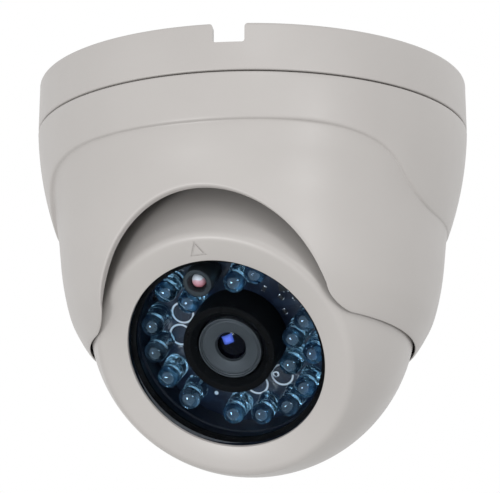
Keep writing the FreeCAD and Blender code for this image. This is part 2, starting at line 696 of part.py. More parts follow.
def lens_grub_screw():
    """The small screw that locks the focus."""
    length = HOLDER_NECK_RADIUS - LENS_THREAD_RADIUS - RUNNING_FIT - 0.1
    start = Vector(0, -HOLDER_NECK_RADIUS, GRUB_LEVEL)
    screw = Part.makeCylinder(GRUB_RADIUS, length, start, Vector(0, 1, 0))
    slot = Part.makeBox(1.8, 0.5, 0.3, Vector(-0.9, -HOLDER_NECK_RADIUS - 0.1, GRUB_LEVEL - 0.15))
    return to_ball(screw.cut(slot))


def holder_screws():
    low = SENSOR_BOARD_FRONT - SENSOR_BOARD_THICKNESS
    screws = []
    for x in (-HOLDER_SCREW_X, HOLDER_SCREW_X):
        shank = tube(0.9, 0, low, SENSOR_BOARD_FRONT + FOOT_THICKNESS, x, 0)
        head = tube(1.6, 0, low - 1.0, low, x, 0)
        screws.append(shank.fuse(head).removeSplitter())
    return to_ball(group(screws))


def infrared_filter():
    return to_ball(block(8.0, 8.0, SENSOR_BOARD_FRONT + 2.3, SENSOR_BOARD_FRONT + 2.9))


def image_sensor():
    """The sensor package on the front of its board."""
    return to_ball(block(8.4, 7.4, SENSOR_BOARD_FRONT, SENSOR_BOARD_FRONT + 1.4))


def sensor_board():
    back = SENSOR_BOARD_FRONT - SENSOR_BOARD_THICKNESS
    side = SENSOR_BOARD_SIDE
    board = block(side, side, back, SENSOR_BOARD_FRONT).common(tube(20.5, 0, back, SENSOR_BOARD_FRONT))
    holes = [tube(0.9, 0, back, SENSOR_BOARD_FRONT, x, 0) for x in (-HOLDER_SCREW_X, HOLDER_SCREW_X)]
    holes += spacer_holes(back, SENSOR_BOARD_FRONT)
    return to_ball(board.cut(holes))


SPACER_OFFSET = 12.6
SPACER_RADIUS = 2.1         # across the corners of the hexagon
SPACER_BORE_DEPTH = 4.0


def spacer_holes(bottom, top):
    hole = tube(1.0, 0, bottom, top, SPACER_OFFSET, SPACER_OFFSET)
    return ring_of(hole, 4)


def board_spacers():
    """The four hexagonal posts between the LED board and the sensor board."""
    corners = [Vector(*polar(SPACER_RADIUS, 60 * i), SENSOR_BOARD_FRONT) for i in range(6)]
    face = Part.Face(Part.makePolygon(corners + corners[:1]))
    post = face.extrude(Vector(0, 0, LED_BOARD_FRONT - LED_BOARD_THICKNESS - SENSOR_BOARD_FRONT))
    post = post.cut(tube(1.0, 0, SENSOR_BOARD_FRONT, SENSOR_BOARD_FRONT + SPACER_BORE_DEPTH))
    post.translate(Vector(SPACER_OFFSET, SPACER_OFFSET, 0))
    return to_ball(group(ring_of(post, 4)))


def rear_spacers():
    """The four longer posts that carry the power board and clamp the sensor board."""
    back = SENSOR_BOARD_FRONT - SENSOR_BOARD_THICKNESS
    stud = tube(1.0, 0, back, SENSOR_BOARD_FRONT + SPACER_BORE_DEPTH)
    post = tube(1.9, 0, POWER_BOARD_FRONT, back).fuse(stud)
    post = post.cut(tube(1.0, 0, POWER_BOARD_FRONT, POWER_BOARD_FRONT + SPACER_BORE_DEPTH)).removeSplitter()
    post.translate(Vector(SPACER_OFFSET, SPACER_OFFSET, 0))
    return to_ball(group(ring_of(post, 4)))


def power_board():
    back = POWER_BOARD_FRONT - SENSOR_BOARD_THICKNESS
    side = SENSOR_BOARD_SIDE
    board = block(side, side, back, POWER_BOARD_FRONT).common(tube(20.5, 0, back, POWER_BOARD_FRONT))
    return to_ball(board.cut(spacer_holes(back, POWER_BOARD_FRONT)))


def board_screws():
    back = POWER_BOARD_FRONT - SENSOR_BOARD_THICKNESS
    shank = tube(1.0, 0, back, POWER_BOARD_FRONT + SPACER_BORE_DEPTH)
    screw = shank.fuse(tube(1.9, 0, back - 1.2, back)).removeSplitter()
    screw.translate(Vector(SPACER_OFFSET, SPACER_OFFSET, 0))
    return to_ball(group(ring_of(screw, 4)))


def processor_chip():
    top = SENSOR_BOARD_FRONT - SENSOR_BOARD_THICKNESS
    return to_ball(block(9.0, 9.0, top - 1.2, top, 0, -5.0))


def power_capacitors():
    """Two round capacitors on the front of the power board."""
    can = tube(3.2, 0, POWER_BOARD_FRONT, POWER_BOARD_FRONT + 6.0, 0, 8.0)
    return to_ball(group([can] + [tube(3.2, 0, POWER_BOARD_FRONT, POWER_BOARD_FRONT + 6.0, -8.0, 6.0)]))


def cable_socket():
    """The plug-in socket on the back of the power board."""
    top = POWER_BOARD_FRONT - SENSOR_BOARD_THICKNESS
    socket = block(12.0, 6.0, top - 6.0, top, 0, 6.0)
    return to_ball(socket.cut(block(10.4, 4.4, top - 6.5, top - 1.0, 0, 6.0)))


# ---------------------------------------------------------------- lens

HEAD_LENGTH = 4.6
LIGHT_WAY_RADIUS = 3.2
FRONT_SEAT_RADIUS = 6.4
FRONT_SEAT_DEPTH = 2.8
REAR_SEAT_RADIUS = 4.4
REAR_SEAT_DEPTH = 1.6
FRONT_RIM_THICKNESS = 0.8   # the flat edge of the front element


def lens_barrel():
    """The threaded lens body with its wider head."""
    head_bottom = LENS_FRONT - HEAD_LENGTH
    thread = tube(LENS_THREAD_RADIUS, 0, LENS_BACK, head_bottom + 0.6)
    head = tube(LENS_HEAD_RADIUS, 0, head_bottom, LENS_FRONT)
    front_seat = tube(FRONT_SEAT_RADIUS, 0, LENS_FRONT - FRONT_SEAT_DEPTH, LENS_FRONT)
    light_way = tube(LIGHT_WAY_RADIUS, 0, LENS_BACK, LENS_FRONT)
    rear_seat = tube(REAR_SEAT_RADIUS, 0, LENS_BACK, LENS_BACK + REAR_SEAT_DEPTH)
    return to_ball(thread.fuse(head).cut([front_seat, light_way, rear_seat]).removeSplitter())


def lens_front_ring():
    """The ring that holds the front glass, sloping in towards it."""
    top = LENS_FRONT - 0.3
    low = LENS_FRONT - 1.4
    ring = tube(FRONT_SEAT_RADIUS, 0, low, top)
    slope = Part.makeCone(LIGHT_WAY_RADIUS, FRONT_SEAT_RADIUS - 0.3, top - low, Vector(0, 0, low))
    return to_ball(ring.cut(slope))


def lens_front_glass():
    """The front element, domed outwards."""
    low = LENS_FRONT - FRONT_SEAT_DEPTH
    dome_radius = 9.0
    dome_half = LIGHT_WAY_RADIUS - 0.1
    rim_level = low + FRONT_RIM_THICKNESS
    centre = Vector(0, 0, rim_level - math.sqrt(dome_radius ** 2 - dome_half ** 2))
    rim = tube(FRONT_SEAT_RADIUS, 0, low, rim_level)
    dome = Part.makeSphere(dome_radius, centre).common(tube(dome_half, 0, rim_level, FAR))
    return to_ball(rim.fuse(dome).removeSplitter())


def lens_rear_glass():
    return to_ball(tube(REAR_SEAT_RADIUS, 0, LENS_BACK + 0.3, LENS_BACK + REAR_SEAT_DEPTH))


# ---------------------------------------------------------------- all sub-parts

nodes = {
    "mounting_base": mounting_base,
    "base_cable_grommet": base_cable_grommet,
    "retaining_ring": retaining_ring,
    "retaining_ring_screws": retaining_ring_screws,
    "pan_friction_washer": pan_friction_washer,
    "turntable_plate": turntable_plate,
    "cover_screws": cover_screws,
    "housing_cover": housing_cover,
    "tilt_cradle": tilt_cradle,
    "tilt_pins": tilt_pins,
    "ball_shell": ball_shell,
    "ball_rear_cap": ball_rear_cap,
    "ball_cap_screws": ball_cap_screws,
    "roll_clip": roll_clip,
    "ball_cable_grommet": ball_cable_grommet,
    "front_window": front_window,
    "window_gasket": window_gasket,
    "light_baffle": light_baffle,
    "led_board": led_board,
    "photocell": photocell,
    "photocell_sleeve": photocell_sleeve,
    "lens_light_shield": lens_light_shield,
    "lens_holder": lens_holder,
    "lens_grub_screw": lens_grub_screw,
    "holder_screws": holder_screws,
    "infrared_filter": infrared_filter,
    "image_sensor": image_sensor,
    "sensor_board": sensor_board,
    "board_spacers": board_spacers,
    "rear_spacers": rear_spacers,
    "power_board": power_board,
    "board_screws": board_screws,
    "processor_chip": processor_chip,
    "power_capacitors": power_capacitors,
    "cable_socket": cable_socket,
    "lens_barrel": lens_barrel,
    "lens_front_ring": lens_front_ring,
    "lens_front_glass": lens_front_glass,
    "lens_rear_glass": lens_rear_glass,
}

os.makedirs("parts", exist_ok=True)
for name, make in nodes.items():
    shape = make()
    print(name, "valid" if shape.isValid() else "NOT VALID", len(shape.Solids), round(shape.Volume, 1))
    shape.exportStep("parts/" + name + ".step")
for number, (distance, angle) in enumerate(LED_PLACES, 1):
    infrared_led(distance, angle).exportStep("parts/infrared_led_%02d.step" % number)
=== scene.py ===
import json
import math

import bpy
from mathutils import Matrix, Vector


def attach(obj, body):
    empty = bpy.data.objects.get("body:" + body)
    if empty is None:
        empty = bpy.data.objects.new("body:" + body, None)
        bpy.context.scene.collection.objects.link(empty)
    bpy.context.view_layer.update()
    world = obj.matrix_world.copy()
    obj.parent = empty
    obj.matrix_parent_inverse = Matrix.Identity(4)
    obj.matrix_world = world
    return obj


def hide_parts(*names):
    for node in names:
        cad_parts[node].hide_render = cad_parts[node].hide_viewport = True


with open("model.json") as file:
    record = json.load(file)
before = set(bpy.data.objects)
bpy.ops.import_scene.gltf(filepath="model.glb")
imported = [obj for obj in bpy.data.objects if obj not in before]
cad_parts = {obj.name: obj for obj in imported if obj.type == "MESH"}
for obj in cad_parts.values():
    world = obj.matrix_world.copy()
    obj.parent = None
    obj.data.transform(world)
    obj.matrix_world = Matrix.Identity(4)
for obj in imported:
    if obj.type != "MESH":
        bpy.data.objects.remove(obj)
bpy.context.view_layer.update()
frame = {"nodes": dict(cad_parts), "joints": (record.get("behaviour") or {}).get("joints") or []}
print("frame loaded:", len(frame["nodes"]), "nodes")

# shapes are drawn in millimetres in their own frames and scaled to metres when they are placed
mm = 0.001
joints = {joint["name"]: joint for joint in frame["joints"]}
ballCentre = Vector(joints["ball_tilt"]["pos_m"])
sideways = Vector(joints["ball_tilt"]["axis"]).normalized()
lensWay = Vector(joints["ball_roll"]["axis"]).normalized()
pictureUp = lensWay.cross(sideways)


def frameOf(xWay, yWay, zWay, origin):
    turn = Matrix((xWay, yWay, zWay)).transposed().to_4x4()
    return Matrix.Translation(origin) @ turn @ Matrix.Scale(mm, 4)


inLens = frameOf(sideways, pictureUp, lensWay, ballCentre)  # z out through the lens, y up in the picture
inTurret = Matrix.Rotation(math.radians(-11.0), 4, "Z") @ Matrix.Scale(mm, 4)  # the housing's front at -y
inBase = Matrix.Scale(mm, 4)
boardLevel = 9.0


def onBoard(distance, angle):
    turn = math.radians(angle)
    return Matrix.Translation((distance * math.sin(turn), distance * math.cos(turn), boardLevel))


def deselectAll():
    if bpy.context.mode != "OBJECT":
        bpy.ops.object.mode_set(mode="OBJECT")
    bpy.ops.object.select_all(action="DESELECT")


def makeActive(piece):
    deselectAll()
    piece.select_set(True)
    bpy.context.view_layer.objects.active = piece


def cleanUp(piece, merge=0.0005):
    # one closed skin: doubles merged and faces turned outwards
    makeActive(piece)
    bpy.ops.object.mode_set(mode="EDIT")
    bpy.ops.mesh.select_all(action="SELECT")
    bpy.ops.mesh.remove_doubles(threshold=merge)
    bpy.ops.mesh.dissolve_degenerate(threshold=merge)
    bpy.ops.mesh.normals_make_consistent(inside=False)
    bpy.ops.object.mode_set(mode="OBJECT")


def drawOutline(points):
    # one vertex, then extruded from point to point as a line of edges; points are (radius, height)
    deselectAll()
    bpy.ops.mesh.primitive_plane_add(size=0.01, location=(points[0][0], 0, points[0][1]))
    piece = bpy.context.object
    bpy.ops.object.mode_set(mode="EDIT")
    bpy.ops.mesh.merge(type="CENTER")
    for here, there in zip(points, points[1:]):
        step = (there[0] - here[0], 0, there[1] - here[1])
        bpy.ops.mesh.extrude_region_move(TRANSFORM_OT_translate={"value": step})
    bpy.ops.object.mode_set(mode="OBJECT")
    bpy.ops.object.transform_apply(location=True)
    return piece


def spinOutline(points, steps, closed=True):
    # a closed outline gives a ring; an open one has to start and end on the axis
    piece = drawOutline(points + points[:1] if closed else points)
    bpy.ops.object.mode_set(mode="EDIT")
    bpy.ops.mesh.select_all(action="SELECT")
    bpy.ops.mesh.spin(steps=steps, angle=2 * math.pi, center=(0, 0, 0), axis=(0, 0, 1))
    bpy.ops.object.mode_set(mode="OBJECT")
    cleanUp(piece)
    return piece


def rounded(corners, segments=5):
    # a closed outline whose corners are (radius, height, rounding)
    points = []
    for i, (x, z, size) in enumerate(corners):
        here = Vector((x, z))
        if size == 0:
            points.append((x, z))
            continue
        before = Vector(corners[i - 1][:2]) - here
        after = Vector(corners[(i + 1) % len(corners)][:2]) - here
        half = before.angle(after) / 2
        reach = min(size / math.tan(half), before.length * 0.49, after.length * 0.49)
        start = here + before.normalized() * reach
        end = here + after.normalized() * reach
        for j in range(segments + 1):
            t = j / segments
            point = start * (1 - t) ** 2 + here * 2 * t * (1 - t) + end * t * t
            points.append((point.x, point.y))
    return points


def arcOutline(radius, centreHeight, fromAngle, toAngle, count):
    # points of a circle about the axis point at centreHeight; angles from the +z way, in degrees
    points = []
    for i in range(count + 1):
        turn = math.radians(fromAngle + (toAngle - fromAngle) * i / count)
        points.append((radius * math.sin(turn), centreHeight + radius * math.cos(turn)))
    return points


def addBlock(size, place, bevel=0.0, segments=2):
    deselectAll()
    bpy.ops.mesh.primitive_cube_add(size=1, location=place, scale=size)
    piece = bpy.context.object
    bpy.ops.object.transform_apply(location=True, rotation=True, scale=True)
    if bevel > 0:
        useModifier(piece, "BEVEL", width=bevel, segments=segments, limit_method="ANGLE")
    return piece


def addBar(radius, low, high, place=(0, 0), sides=32, bevel=0.0, segments=3):
    deselectAll()
    bpy.ops.mesh.primitive_cylinder_add(
        vertices=sides, radius=radius, depth=high - low, location=(place[0], place[1], (low + high) / 2))
    piece = bpy.context.object
    bpy.ops.object.transform_apply(location=True)
    if bevel > 0:
        useModifier(piece, "BEVEL", width=bevel, segments=segments, limit_method="ANGLE")
    return piece


def useModifier(piece, kind, **settings):
    makeActive(piece)
    modifier = piece.modifiers.new(kind.title(), kind)
    for key, value in settings.items():
        setattr(modifier, key, value)
    bpy.ops.object.modifier_apply(modifier=modifier.name)


def cutAway(piece, tool, keep=False):
    useModifier(piece, "BOOLEAN", operation="DIFFERENCE", solver="EXACT", object=tool)
    if not keep:
        bpy.data.objects.remove(tool)


def joinInto(piece, others):
    makeActive(piece)
    for other in others:
        other.select_set(True)
    bpy.ops.object.join()
    return piece


def copyOf(piece):
    twin = piece.copy()
    twin.data = piece.data.copy()
    bpy.context.collection.objects.link(twin)
    return twin


def placed(piece, name, where, body, material, replaces=(), smoothAngle=35):
    # into the part's frame in metres, then named, finished and put on its body
    piece.data.transform(where)
    piece.data.update()
    piece.name = name
    piece.data.name = name
    makeActive(piece)
    bpy.ops.object.shade_smooth_by_angle(angle=math.radians(smoothAngle))
    piece.data.materials.clear()
    piece.data.materials.append(material)
    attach(piece, body)
    if replaces:
        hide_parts(*replaces)
    return piece


def newFinish(name, settings):
    # a Principled surface with its plain values set on its own sockets
    finish = bpy.data.materials.new(name)
    finish.use_nodes = True
    surface = finish.node_tree.nodes["Principled BSDF"]
    for key, value in settings.items():
        surface.inputs[key].default_value = value
    return finish, finish.node_tree, surface


def addNode(tree, kind, **settings):
    node = tree.nodes.new(kind)
    for key, value in settings.items():
        if key in node.inputs:
            node.inputs[key].default_value = value
        else:
            setattr(node, key, value)
    return node


def addNoise(tree, scale, detail=3.0, stretch=(1, 1, 1)):
    where = addNode(tree, "ShaderNodeTexCoord")
    mapping = addNode(tree, "ShaderNodeMapping")
    mapping.inputs["Scale"].default_value = stretch
    noise = addNode(tree, "ShaderNodeTexNoise")
    noise.inputs["Scale"].default_value = scale
    noise.inputs["Detail"].default_value = detail
    tree.links.new(where.outputs["Object"], mapping.inputs["Vector"])
    tree.links.new(mapping.outputs["Vector"], noise.inputs["Vector"])
    return noise


def addRamp(tree, source, stops):
    ramp = addNode(tree, "ShaderNodeValToRGB")
    while len(ramp.color_ramp.elements) < len(stops):
        ramp.color_ramp.elements.new(0.5)
    for element, (position, colour) in zip(ramp.color_ramp.elements, stops):
        element.position = position
        element.color = (*colour, 1)
    tree.links.new(source, ramp.inputs["Fac"])
    return ramp


def addRange(tree, source, low, high):
    span = addNode(tree, "ShaderNodeMapRange")
    span.inputs["To Min"].default_value = low
    span.inputs["To Max"].default_value = high
    tree.links.new(source, span.inputs["Value"])
    return span.outputs["Result"]


def addBump(tree, surface, heights, strength, distance):
    # heights are added up and pressed into the surface
    total = heights[0]
    for height in heights[1:]:
        plus = addNode(tree, "ShaderNodeMath", operation="ADD")
        tree.links.new(total, plus.inputs[0])
        tree.links.new(height, plus.inputs[1])
        total = plus.outputs["Value"]
    bump = addNode(tree, "ShaderNodeBump", Strength=strength, Distance=distance)
    tree.links.new(total, bump.inputs["Height"])
    tree.links.new(bump.outputs["Normal"], surface.inputs["Normal"])


def mouldedPlastic(name, dark, light, roughness, grain, settings=None):
    # moulded plastic: slow colour drift, uneven gloss and a fine spark-eroded grain
    finish, tree, surface = newFinish(name, settings or {})
    drift = addNoise(tree, 28, 4)
    fine = addNoise(tree, 2600, 2)
    blotch = addNoise(tree, 190, 5)
    colour = addRamp(tree, drift.outputs["Fac"], [(0.3, dark), (0.7, light)])
    tree.links.new(colour.outputs["Color"], surface.inputs["Base Color"])
    gloss = addRange(tree, blotch.outputs["Fac"], roughness - 0.05, roughness + 0.06)
    tree.links.new(gloss, surface.inputs["Roughness"])
    addBump(tree, surface, [fine.outputs["Fac"]], grain, 0.00002)
    return finish


def metalFinish(name, dark, light, roughness, stretch=(1, 1, 1)):
    # plated or turned metal with fine drawn lines along the less stretched ways
    finish, tree, surface = newFinish(name, {"Metallic": 1.0})
    lines = addNoise(tree, 900, 3, stretch)
    stain = addNoise(tree, 120, 4)
    colour = addRamp(tree, stain.outputs["Fac"], [(0.35, dark), (0.65, light)])
    tree.links.new(colour.outputs["Color"], surface.inputs["Base Color"])
    gloss = addRange(tree, lines.outputs["Fac"], roughness - 0.07, roughness + 0.1)
    tree.links.new(gloss, surface.inputs["Roughness"])
    addBump(tree, surface, [lines.outputs["Fac"]], 0.25, 0.00001)
    return finish


def clearOver(finish, tree, surface, throughColour):
    # lamps shine straight through the piece, so what is behind it is lit
    output = tree.nodes["Material Output"]
    rays = addNode(tree, "ShaderNodeLightPath")
    through = addNode(tree, "ShaderNodeBsdfTransparent")
    through.inputs["Color"].default_value = (*throughColour, 1)
    mix = addNode(tree, "ShaderNodeMixShader")
    tree.links.new(rays.outputs["Is Shadow Ray"], mix.inputs["Fac"])
    tree.links.new(surface.outputs["BSDF"], mix.inputs[1])
    tree.links.new(through.outputs["BSDF"], mix.inputs[2])
    tree.links.new(mix.outputs["Shader"], output.inputs["Surface"])
    return finish


def paneFinish():
    # flat clear pane: what is behind shows through, dimmed a little, under a thin mirror
    finish, tree, surface = newFinish("clearPane", {"Base Color": (0.02, 0.03, 0.05, 1), "Roughness": 0.02})
    through = addNode(tree, "ShaderNodeBsdfTransparent")
    through.inputs["Color"].default_value = (0.90, 0.94, 0.98, 1)
    smear = addNoise(tree, 60, 4)
    share = addNode(tree, "ShaderNodeFresnel", IOR=1.12)
    mix = addNode(tree, "ShaderNodeMixShader")
    gloss = addRange(tree, smear.outputs["Fac"], 0.01, 0.05)
    tree.links.new(gloss, surface.inputs["Roughness"])
    tree.links.new(share.outputs["Fac"], mix.inputs["Fac"])
    tree.links.new(through.outputs["BSDF"], mix.inputs[1])
    tree.links.new(surface.outputs["BSDF"], mix.inputs[2])
    tree.links.new(mix.outputs["Shader"], tree.nodes["Material Output"].inputs["Surface"])
    return finish


def ledEpoxy():
    finish, tree, surface = newFinish("ledEpoxy", {
        "Base Color": (0.44, 0.78, 0.99, 1), "Transmission Weight": 1.0, "IOR": 1.55,
        "Specular Tint": (0.45, 0.80, 1.0, 1), "Coat Weight": 0.7, "Coat IOR": 1.7, "Coat Roughness": 0.0})
    flow = addNoise(tree, 240, 3)
    gloss = addRange(tree, flow.outputs["Fac"], 0.0, 0.05)
    tree.links.new(gloss, surface.inputs["Roughness"])
    addBump(tree, surface, [flow.outputs["Fac"]], 0.1, 0.00005)
    return clearOver(finish, tree, surface, (0.70, 0.88, 1.0))


def boardMask():
    # dark solder mask with the copper runs just showing through
    finish, tree, surface = newFinish("boardMask", {"Coat Weight": 0.4, "Coat Roughness": 0.12})
    where = addNode(tree, "ShaderNodeTexCoord")
    runs = addNode(tree, "ShaderNodeTexVoronoi", distance="CHEBYCHEV", feature="F1")
    runs.inputs["Scale"].default_value = 330
    tree.links.new(where.outputs["Object"], runs.inputs["Vector"])
    weave = addNoise(tree, 1500, 2)
    tone = addRamp(tree, runs.outputs["Distance"],
                   [(0.0, (0.006, 0.010, 0.022)), (0.45, (0.008, 0.013, 0.028)), (0.5, (0.014, 0.024, 0.045))])
    tree.links.new(tone.outputs["Color"], surface.inputs["Base Color"])
    gloss = addRange(tree, weave.outputs["Fac"], 0.28, 0.42)
    tree.links.new(gloss, surface.inputs["Roughness"])
    addBump(tree, surface, [runs.outputs["Distance"], weave.outputs["Fac"]], 0.2, 0.00004)
    return finish


def coatedGlass(name, colour, coat):
    # a lens face: nearly black in itself, with a tinted mirror from its coating
    finish, tree, surface = newFinish(name, {
        "Base Color": (*colour, 1), "IOR": 1.6, "Specular Tint": (*coat, 1)})
    dust = addNoise(tree, 700, 2)
    gloss = addRange(tree, dust.outputs["Fac"], 0.01, 0.05)
    tree.links.new(gloss, surface.inputs["Roughness"])
    return finish


def splitAround(tree, place):
    # the place's own x, y and z in millimetres, read off the object coordinates
    back = place.inverted()
    where = addNode(tree, "ShaderNodeTexCoord")
    mapping = addNode(tree, "ShaderNodeMapping")
    mapping.inputs["Scale"].default_value = (1 / mm, 1 / mm, 1 / mm)
    mapping.inputs["Rotation"].default_value = back.to_euler()
    mapping.inputs["Location"].default_value = back.translation
    tree.links.new(where.outputs["Object"], mapping.inputs["Vector"])
    split = addNode(tree, "ShaderNodeSeparateXYZ")
    tree.links.new(mapping.outputs["Vector"], split.inputs["Vector"])
    return split


# a painted reflection: this blue patch stands in for a lamp mirrored in the coated front glass; placed in mm from
# the lens axis
paintedReflection = {"middle": (-0.6, 1.4), "half": (1.75, 1.35), "turn": 12.0}


def glassWithPaintedReflection(name, colour):
    # black glass with one soft-edged four-sided blue patch painted on it: a painted reflection of a lamp in its
    # coating
    finish, tree, surface = newFinish(name, {"IOR": 1.4, "Specular IOR Level": 0.12})
    middle = Vector((*paintedReflection["middle"], 0))
    patch = inLens @ Matrix.Translation(middle) @ Matrix.Rotation(math.radians(paintedReflection["turn"]), 4, "Z")
    split = splitAround(tree, patch)
    shares = []
    for way, half in zip("XY", paintedReflection["half"]):
        size = addNode(tree, "ShaderNodeMath", operation="ABSOLUTE")
        share = addNode(tree, "ShaderNodeMath", operation="DIVIDE")
        tree.links.new(split.outputs[way], size.inputs[0])
        tree.links.new(size.outputs["Value"], share.inputs[0])
        share.inputs[1].default_value = half
        shares.append(share.outputs["Value"])
    widest = addNode(tree, "ShaderNodeMath", operation="MAXIMUM")
    tree.links.new(shares[0], widest.inputs[0])
    tree.links.new(shares[1], widest.inputs[1])
    streak = addNoise(tree, 500, 2)
    wavy = addNode(tree, "ShaderNodeMath", operation="MULTIPLY_ADD")
    tree.links.new(streak.outputs["Fac"], wavy.inputs[0])
    wavy.inputs[1].default_value = 0.5
    tree.links.new(widest.outputs["Value"], wavy.inputs[2])
    # painted reflection: blue inside the patch, fading through dark blue to the black glass outside
    tone = addRamp(tree, wavy.outputs["Value"], [
        (0.55, colour), (0.98, (0.05, 0.09, 0.40)), (1.0, (0.002, 0.002, 0.004))])
    tree.links.new(tone.outputs["Color"], surface.inputs["Base Color"])
    gloss = addRange(tree, streak.outputs["Fac"], 0.05, 0.12)
    tree.links.new(gloss, surface.inputs["Roughness"])
    return finish


# the daylight cell: where it stands on the board, its head and its sleeve
cell = {"distance": 16.2, "angle": -14.0, "sleeveTop": 16.6, "sleeve": 3.3, "head": 1.7, "centre": 14.6}


def cellFinish():
    # the cell head: pink-red, darker towards the bottom, with a painted silvery highlight across the top; by
    # height in the picture
    finish, tree, surface = newFinish("cellHead", {"Coat Weight": 0.8, "Coat Roughness": 0.05})
    across = inLens @ onBoard(cell["distance"], cell["angle"])
    split = splitAround(tree, across)
    grain = addNoise(tree, 900, 3)
    height = addNode(tree, "ShaderNodeMapRange")
    height.inputs["From Min"].default_value = -cell["head"]
    height.inputs["From Max"].default_value = cell["head"]
    tree.links.new(split.outputs["Y"], height.inputs["Value"])
    uneven = addNode(tree, "ShaderNodeMath", operation="MULTIPLY_ADD")
    tree.links.new(grain.outputs["Fac"], uneven.inputs[0])
    uneven.inputs[1].default_value = 0.25
    tree.links.new(height.outputs["Result"], uneven.inputs[2])
    # painted highlight: the top of the head goes silvery
    tone = addRamp(tree, uneven.outputs["Value"], [
        (0.15, (0.16, 0.03, 0.03)), (0.40, (0.70, 0.25, 0.26)),
        (0.76, (0.80, 0.42, 0.42)), (0.82, (0.86, 0.82, 0.80))])
    tree.links.new(tone.outputs["Color"], surface.inputs["Base Color"])
    gloss = addRange(tree, grain.outputs["Fac"], 0.15, 0.3)
    tree.links.new(gloss, surface.inputs["Roughness"])
    return finish


def feltFinish():
    finish, tree, surface = newFinish("pressedFelt", {"Roughness": 0.95, "Sheen Weight": 0.4})
    fibres = addNoise(tree, 1400, 6)
    colour = addRamp(tree, fibres.outputs["Fac"], [(0.3, (0.05, 0.05, 0.05)), (0.7, (0.16, 0.16, 0.155))])
    tree.links.new(colour.outputs["Color"], surface.inputs["Base Color"])
    addBump(tree, surface, [fibres.outputs["Fac"]], 0.8, 0.0001)
    return finish


paints = {
    "shellPlastic": mouldedPlastic("shellPlastic", (0.368, 0.350, 0.338), (0.395, 0.377, 0.364), 0.40, 0.18),
    "ballPlastic": mouldedPlastic("ballPlastic", (0.368, 0.350, 0.338), (0.395, 0.377, 0.364), 0.38, 0.15),
    "blackPlastic": mouldedPlastic("blackPlastic", (0.010, 0.011, 0.014), (0.016, 0.017, 0.021), 0.45, 0.3),
    "baffleBlack": mouldedPlastic("baffleBlack", (0.006, 0.008, 0.014), (0.010, 0.013, 0.022), 0.42, 0.2,
                                  {"Specular IOR Level": 0.25}),
    "sleeveBlack": mouldedPlastic("sleeveBlack", (0.026, 0.030, 0.030), (0.040, 0.044, 0.044), 0.45, 0.2,
                                  {"Specular IOR Level": 0.3}),
    "softRubber": mouldedPlastic("softRubber", (0.002, 0.002, 0.002), (0.004, 0.004, 0.004), 0.75, 0.5,
                                 {"Specular IOR Level": 0.12}),
    "zincSteel": metalFinish("zincSteel", (0.42, 0.42, 0.41), (0.60, 0.60, 0.59), 0.34, (1, 1, 6)),
    "turnedBrass": metalFinish("turnedBrass", (0.55, 0.40, 0.17), (0.72, 0.56, 0.28), 0.28, (6, 6, 1)),
    "brightSilver": metalFinish("brightSilver", (0.80, 0.84, 0.86), (0.94, 0.97, 0.98), 0.24),
    "lensBlack": mouldedPlastic("lensBlack", (0.034, 0.036, 0.036), (0.052, 0.054, 0.054), 0.40, 0.35),
    "canSleeve": mouldedPlastic("canSleeve", (0.02, 0.02, 0.03), (0.03, 0.03, 0.045), 0.3, 0.1),
    "chipEpoxy": mouldedPlastic("chipEpoxy", (0.012, 0.012, 0.013), (0.022, 0.022, 0.023), 0.5, 0.6),
    "whiteNylon": mouldedPlastic("whiteNylon", (0.70, 0.68, 0.61), (0.78, 0.76, 0.70), 0.45, 0.2),
    "whiteInkAndGlints": mouldedPlastic("whiteInkAndGlints", (0.80, 0.81, 0.81), (0.90, 0.91, 0.91), 0.5, 0.2),
    "cellHead": cellFinish(),
    "pressedFelt": feltFinish(),
    "clearPane": paneFinish(),
    "ledEpoxy": ledEpoxy(),
    "boardMask": boardMask(),
    "frontGlassPaintedReflection": glassWithPaintedReflection("frontGlassPaintedReflection", (0.17, 0.24, 0.85)),
    "filterCoating": coatedGlass("filterCoating", (0.05, 0.10, 0.10), (0.9, 0.5, 0.6)),
}
print("finishes ready:", len(paints))


# the housing: a skirt layer over a dome, with the arch cut through the front
housing = {
    "columns": 360,
    "archColumns": 168,
    "rowsAbove": 14,
    "rowsBelow": 34,
    "top": -11.1,
    "rim": -60.5,
    "topRound": 0.5,
    "skirtCurve": 75.0,
    "skirtLevel": -9.73,
    "skirtTop": 47.2,
    "skirtBack": -34.4,
    "wall": 2.4,
    "archRadius": 26.5,
    "archCentre": -61.9,
    "flareRise": 6.0,
    "flareFoot": -60.8,
    "lipRound": 0.75,
}
# outside radius by level, down from the top
domeShape = [(-11.1, 46.5), (-16.0, 46.15), (-22.0, 45.45), (-26.0, 44.65), (-30.0, 43.6), (-33.0, 42.95),
             (-36.0, 42.55), (-39.0, 42.3), (-42.0, 42.05), (-45.0, 41.7), (-48.0, 41.2), (-51.0, 40.55),
             (-54.0, 39.65), (-56.6, 38.4), (-59.2, 36.9), (-60.5, 35.95)]
innerFoot = [(-46.0, 39.1), (-50.0, 38.35), (-53.0, 37.95), (-57.1, 37.3), (-59.0, 36.2), (-60.5, 35.5)]
# level of the skirt edge by the angle from the front
skirtEdge = [(0, -21.7), (-30, -21.6), (-41, -22.0), (-49, -22.9), (-55.7, -24.3), (-61.7, -26.6),
             (-67.8, -30.0), (-74.5, -32.6), (-82, -34.1), (-90, -34.4), (-180, -34.4)]


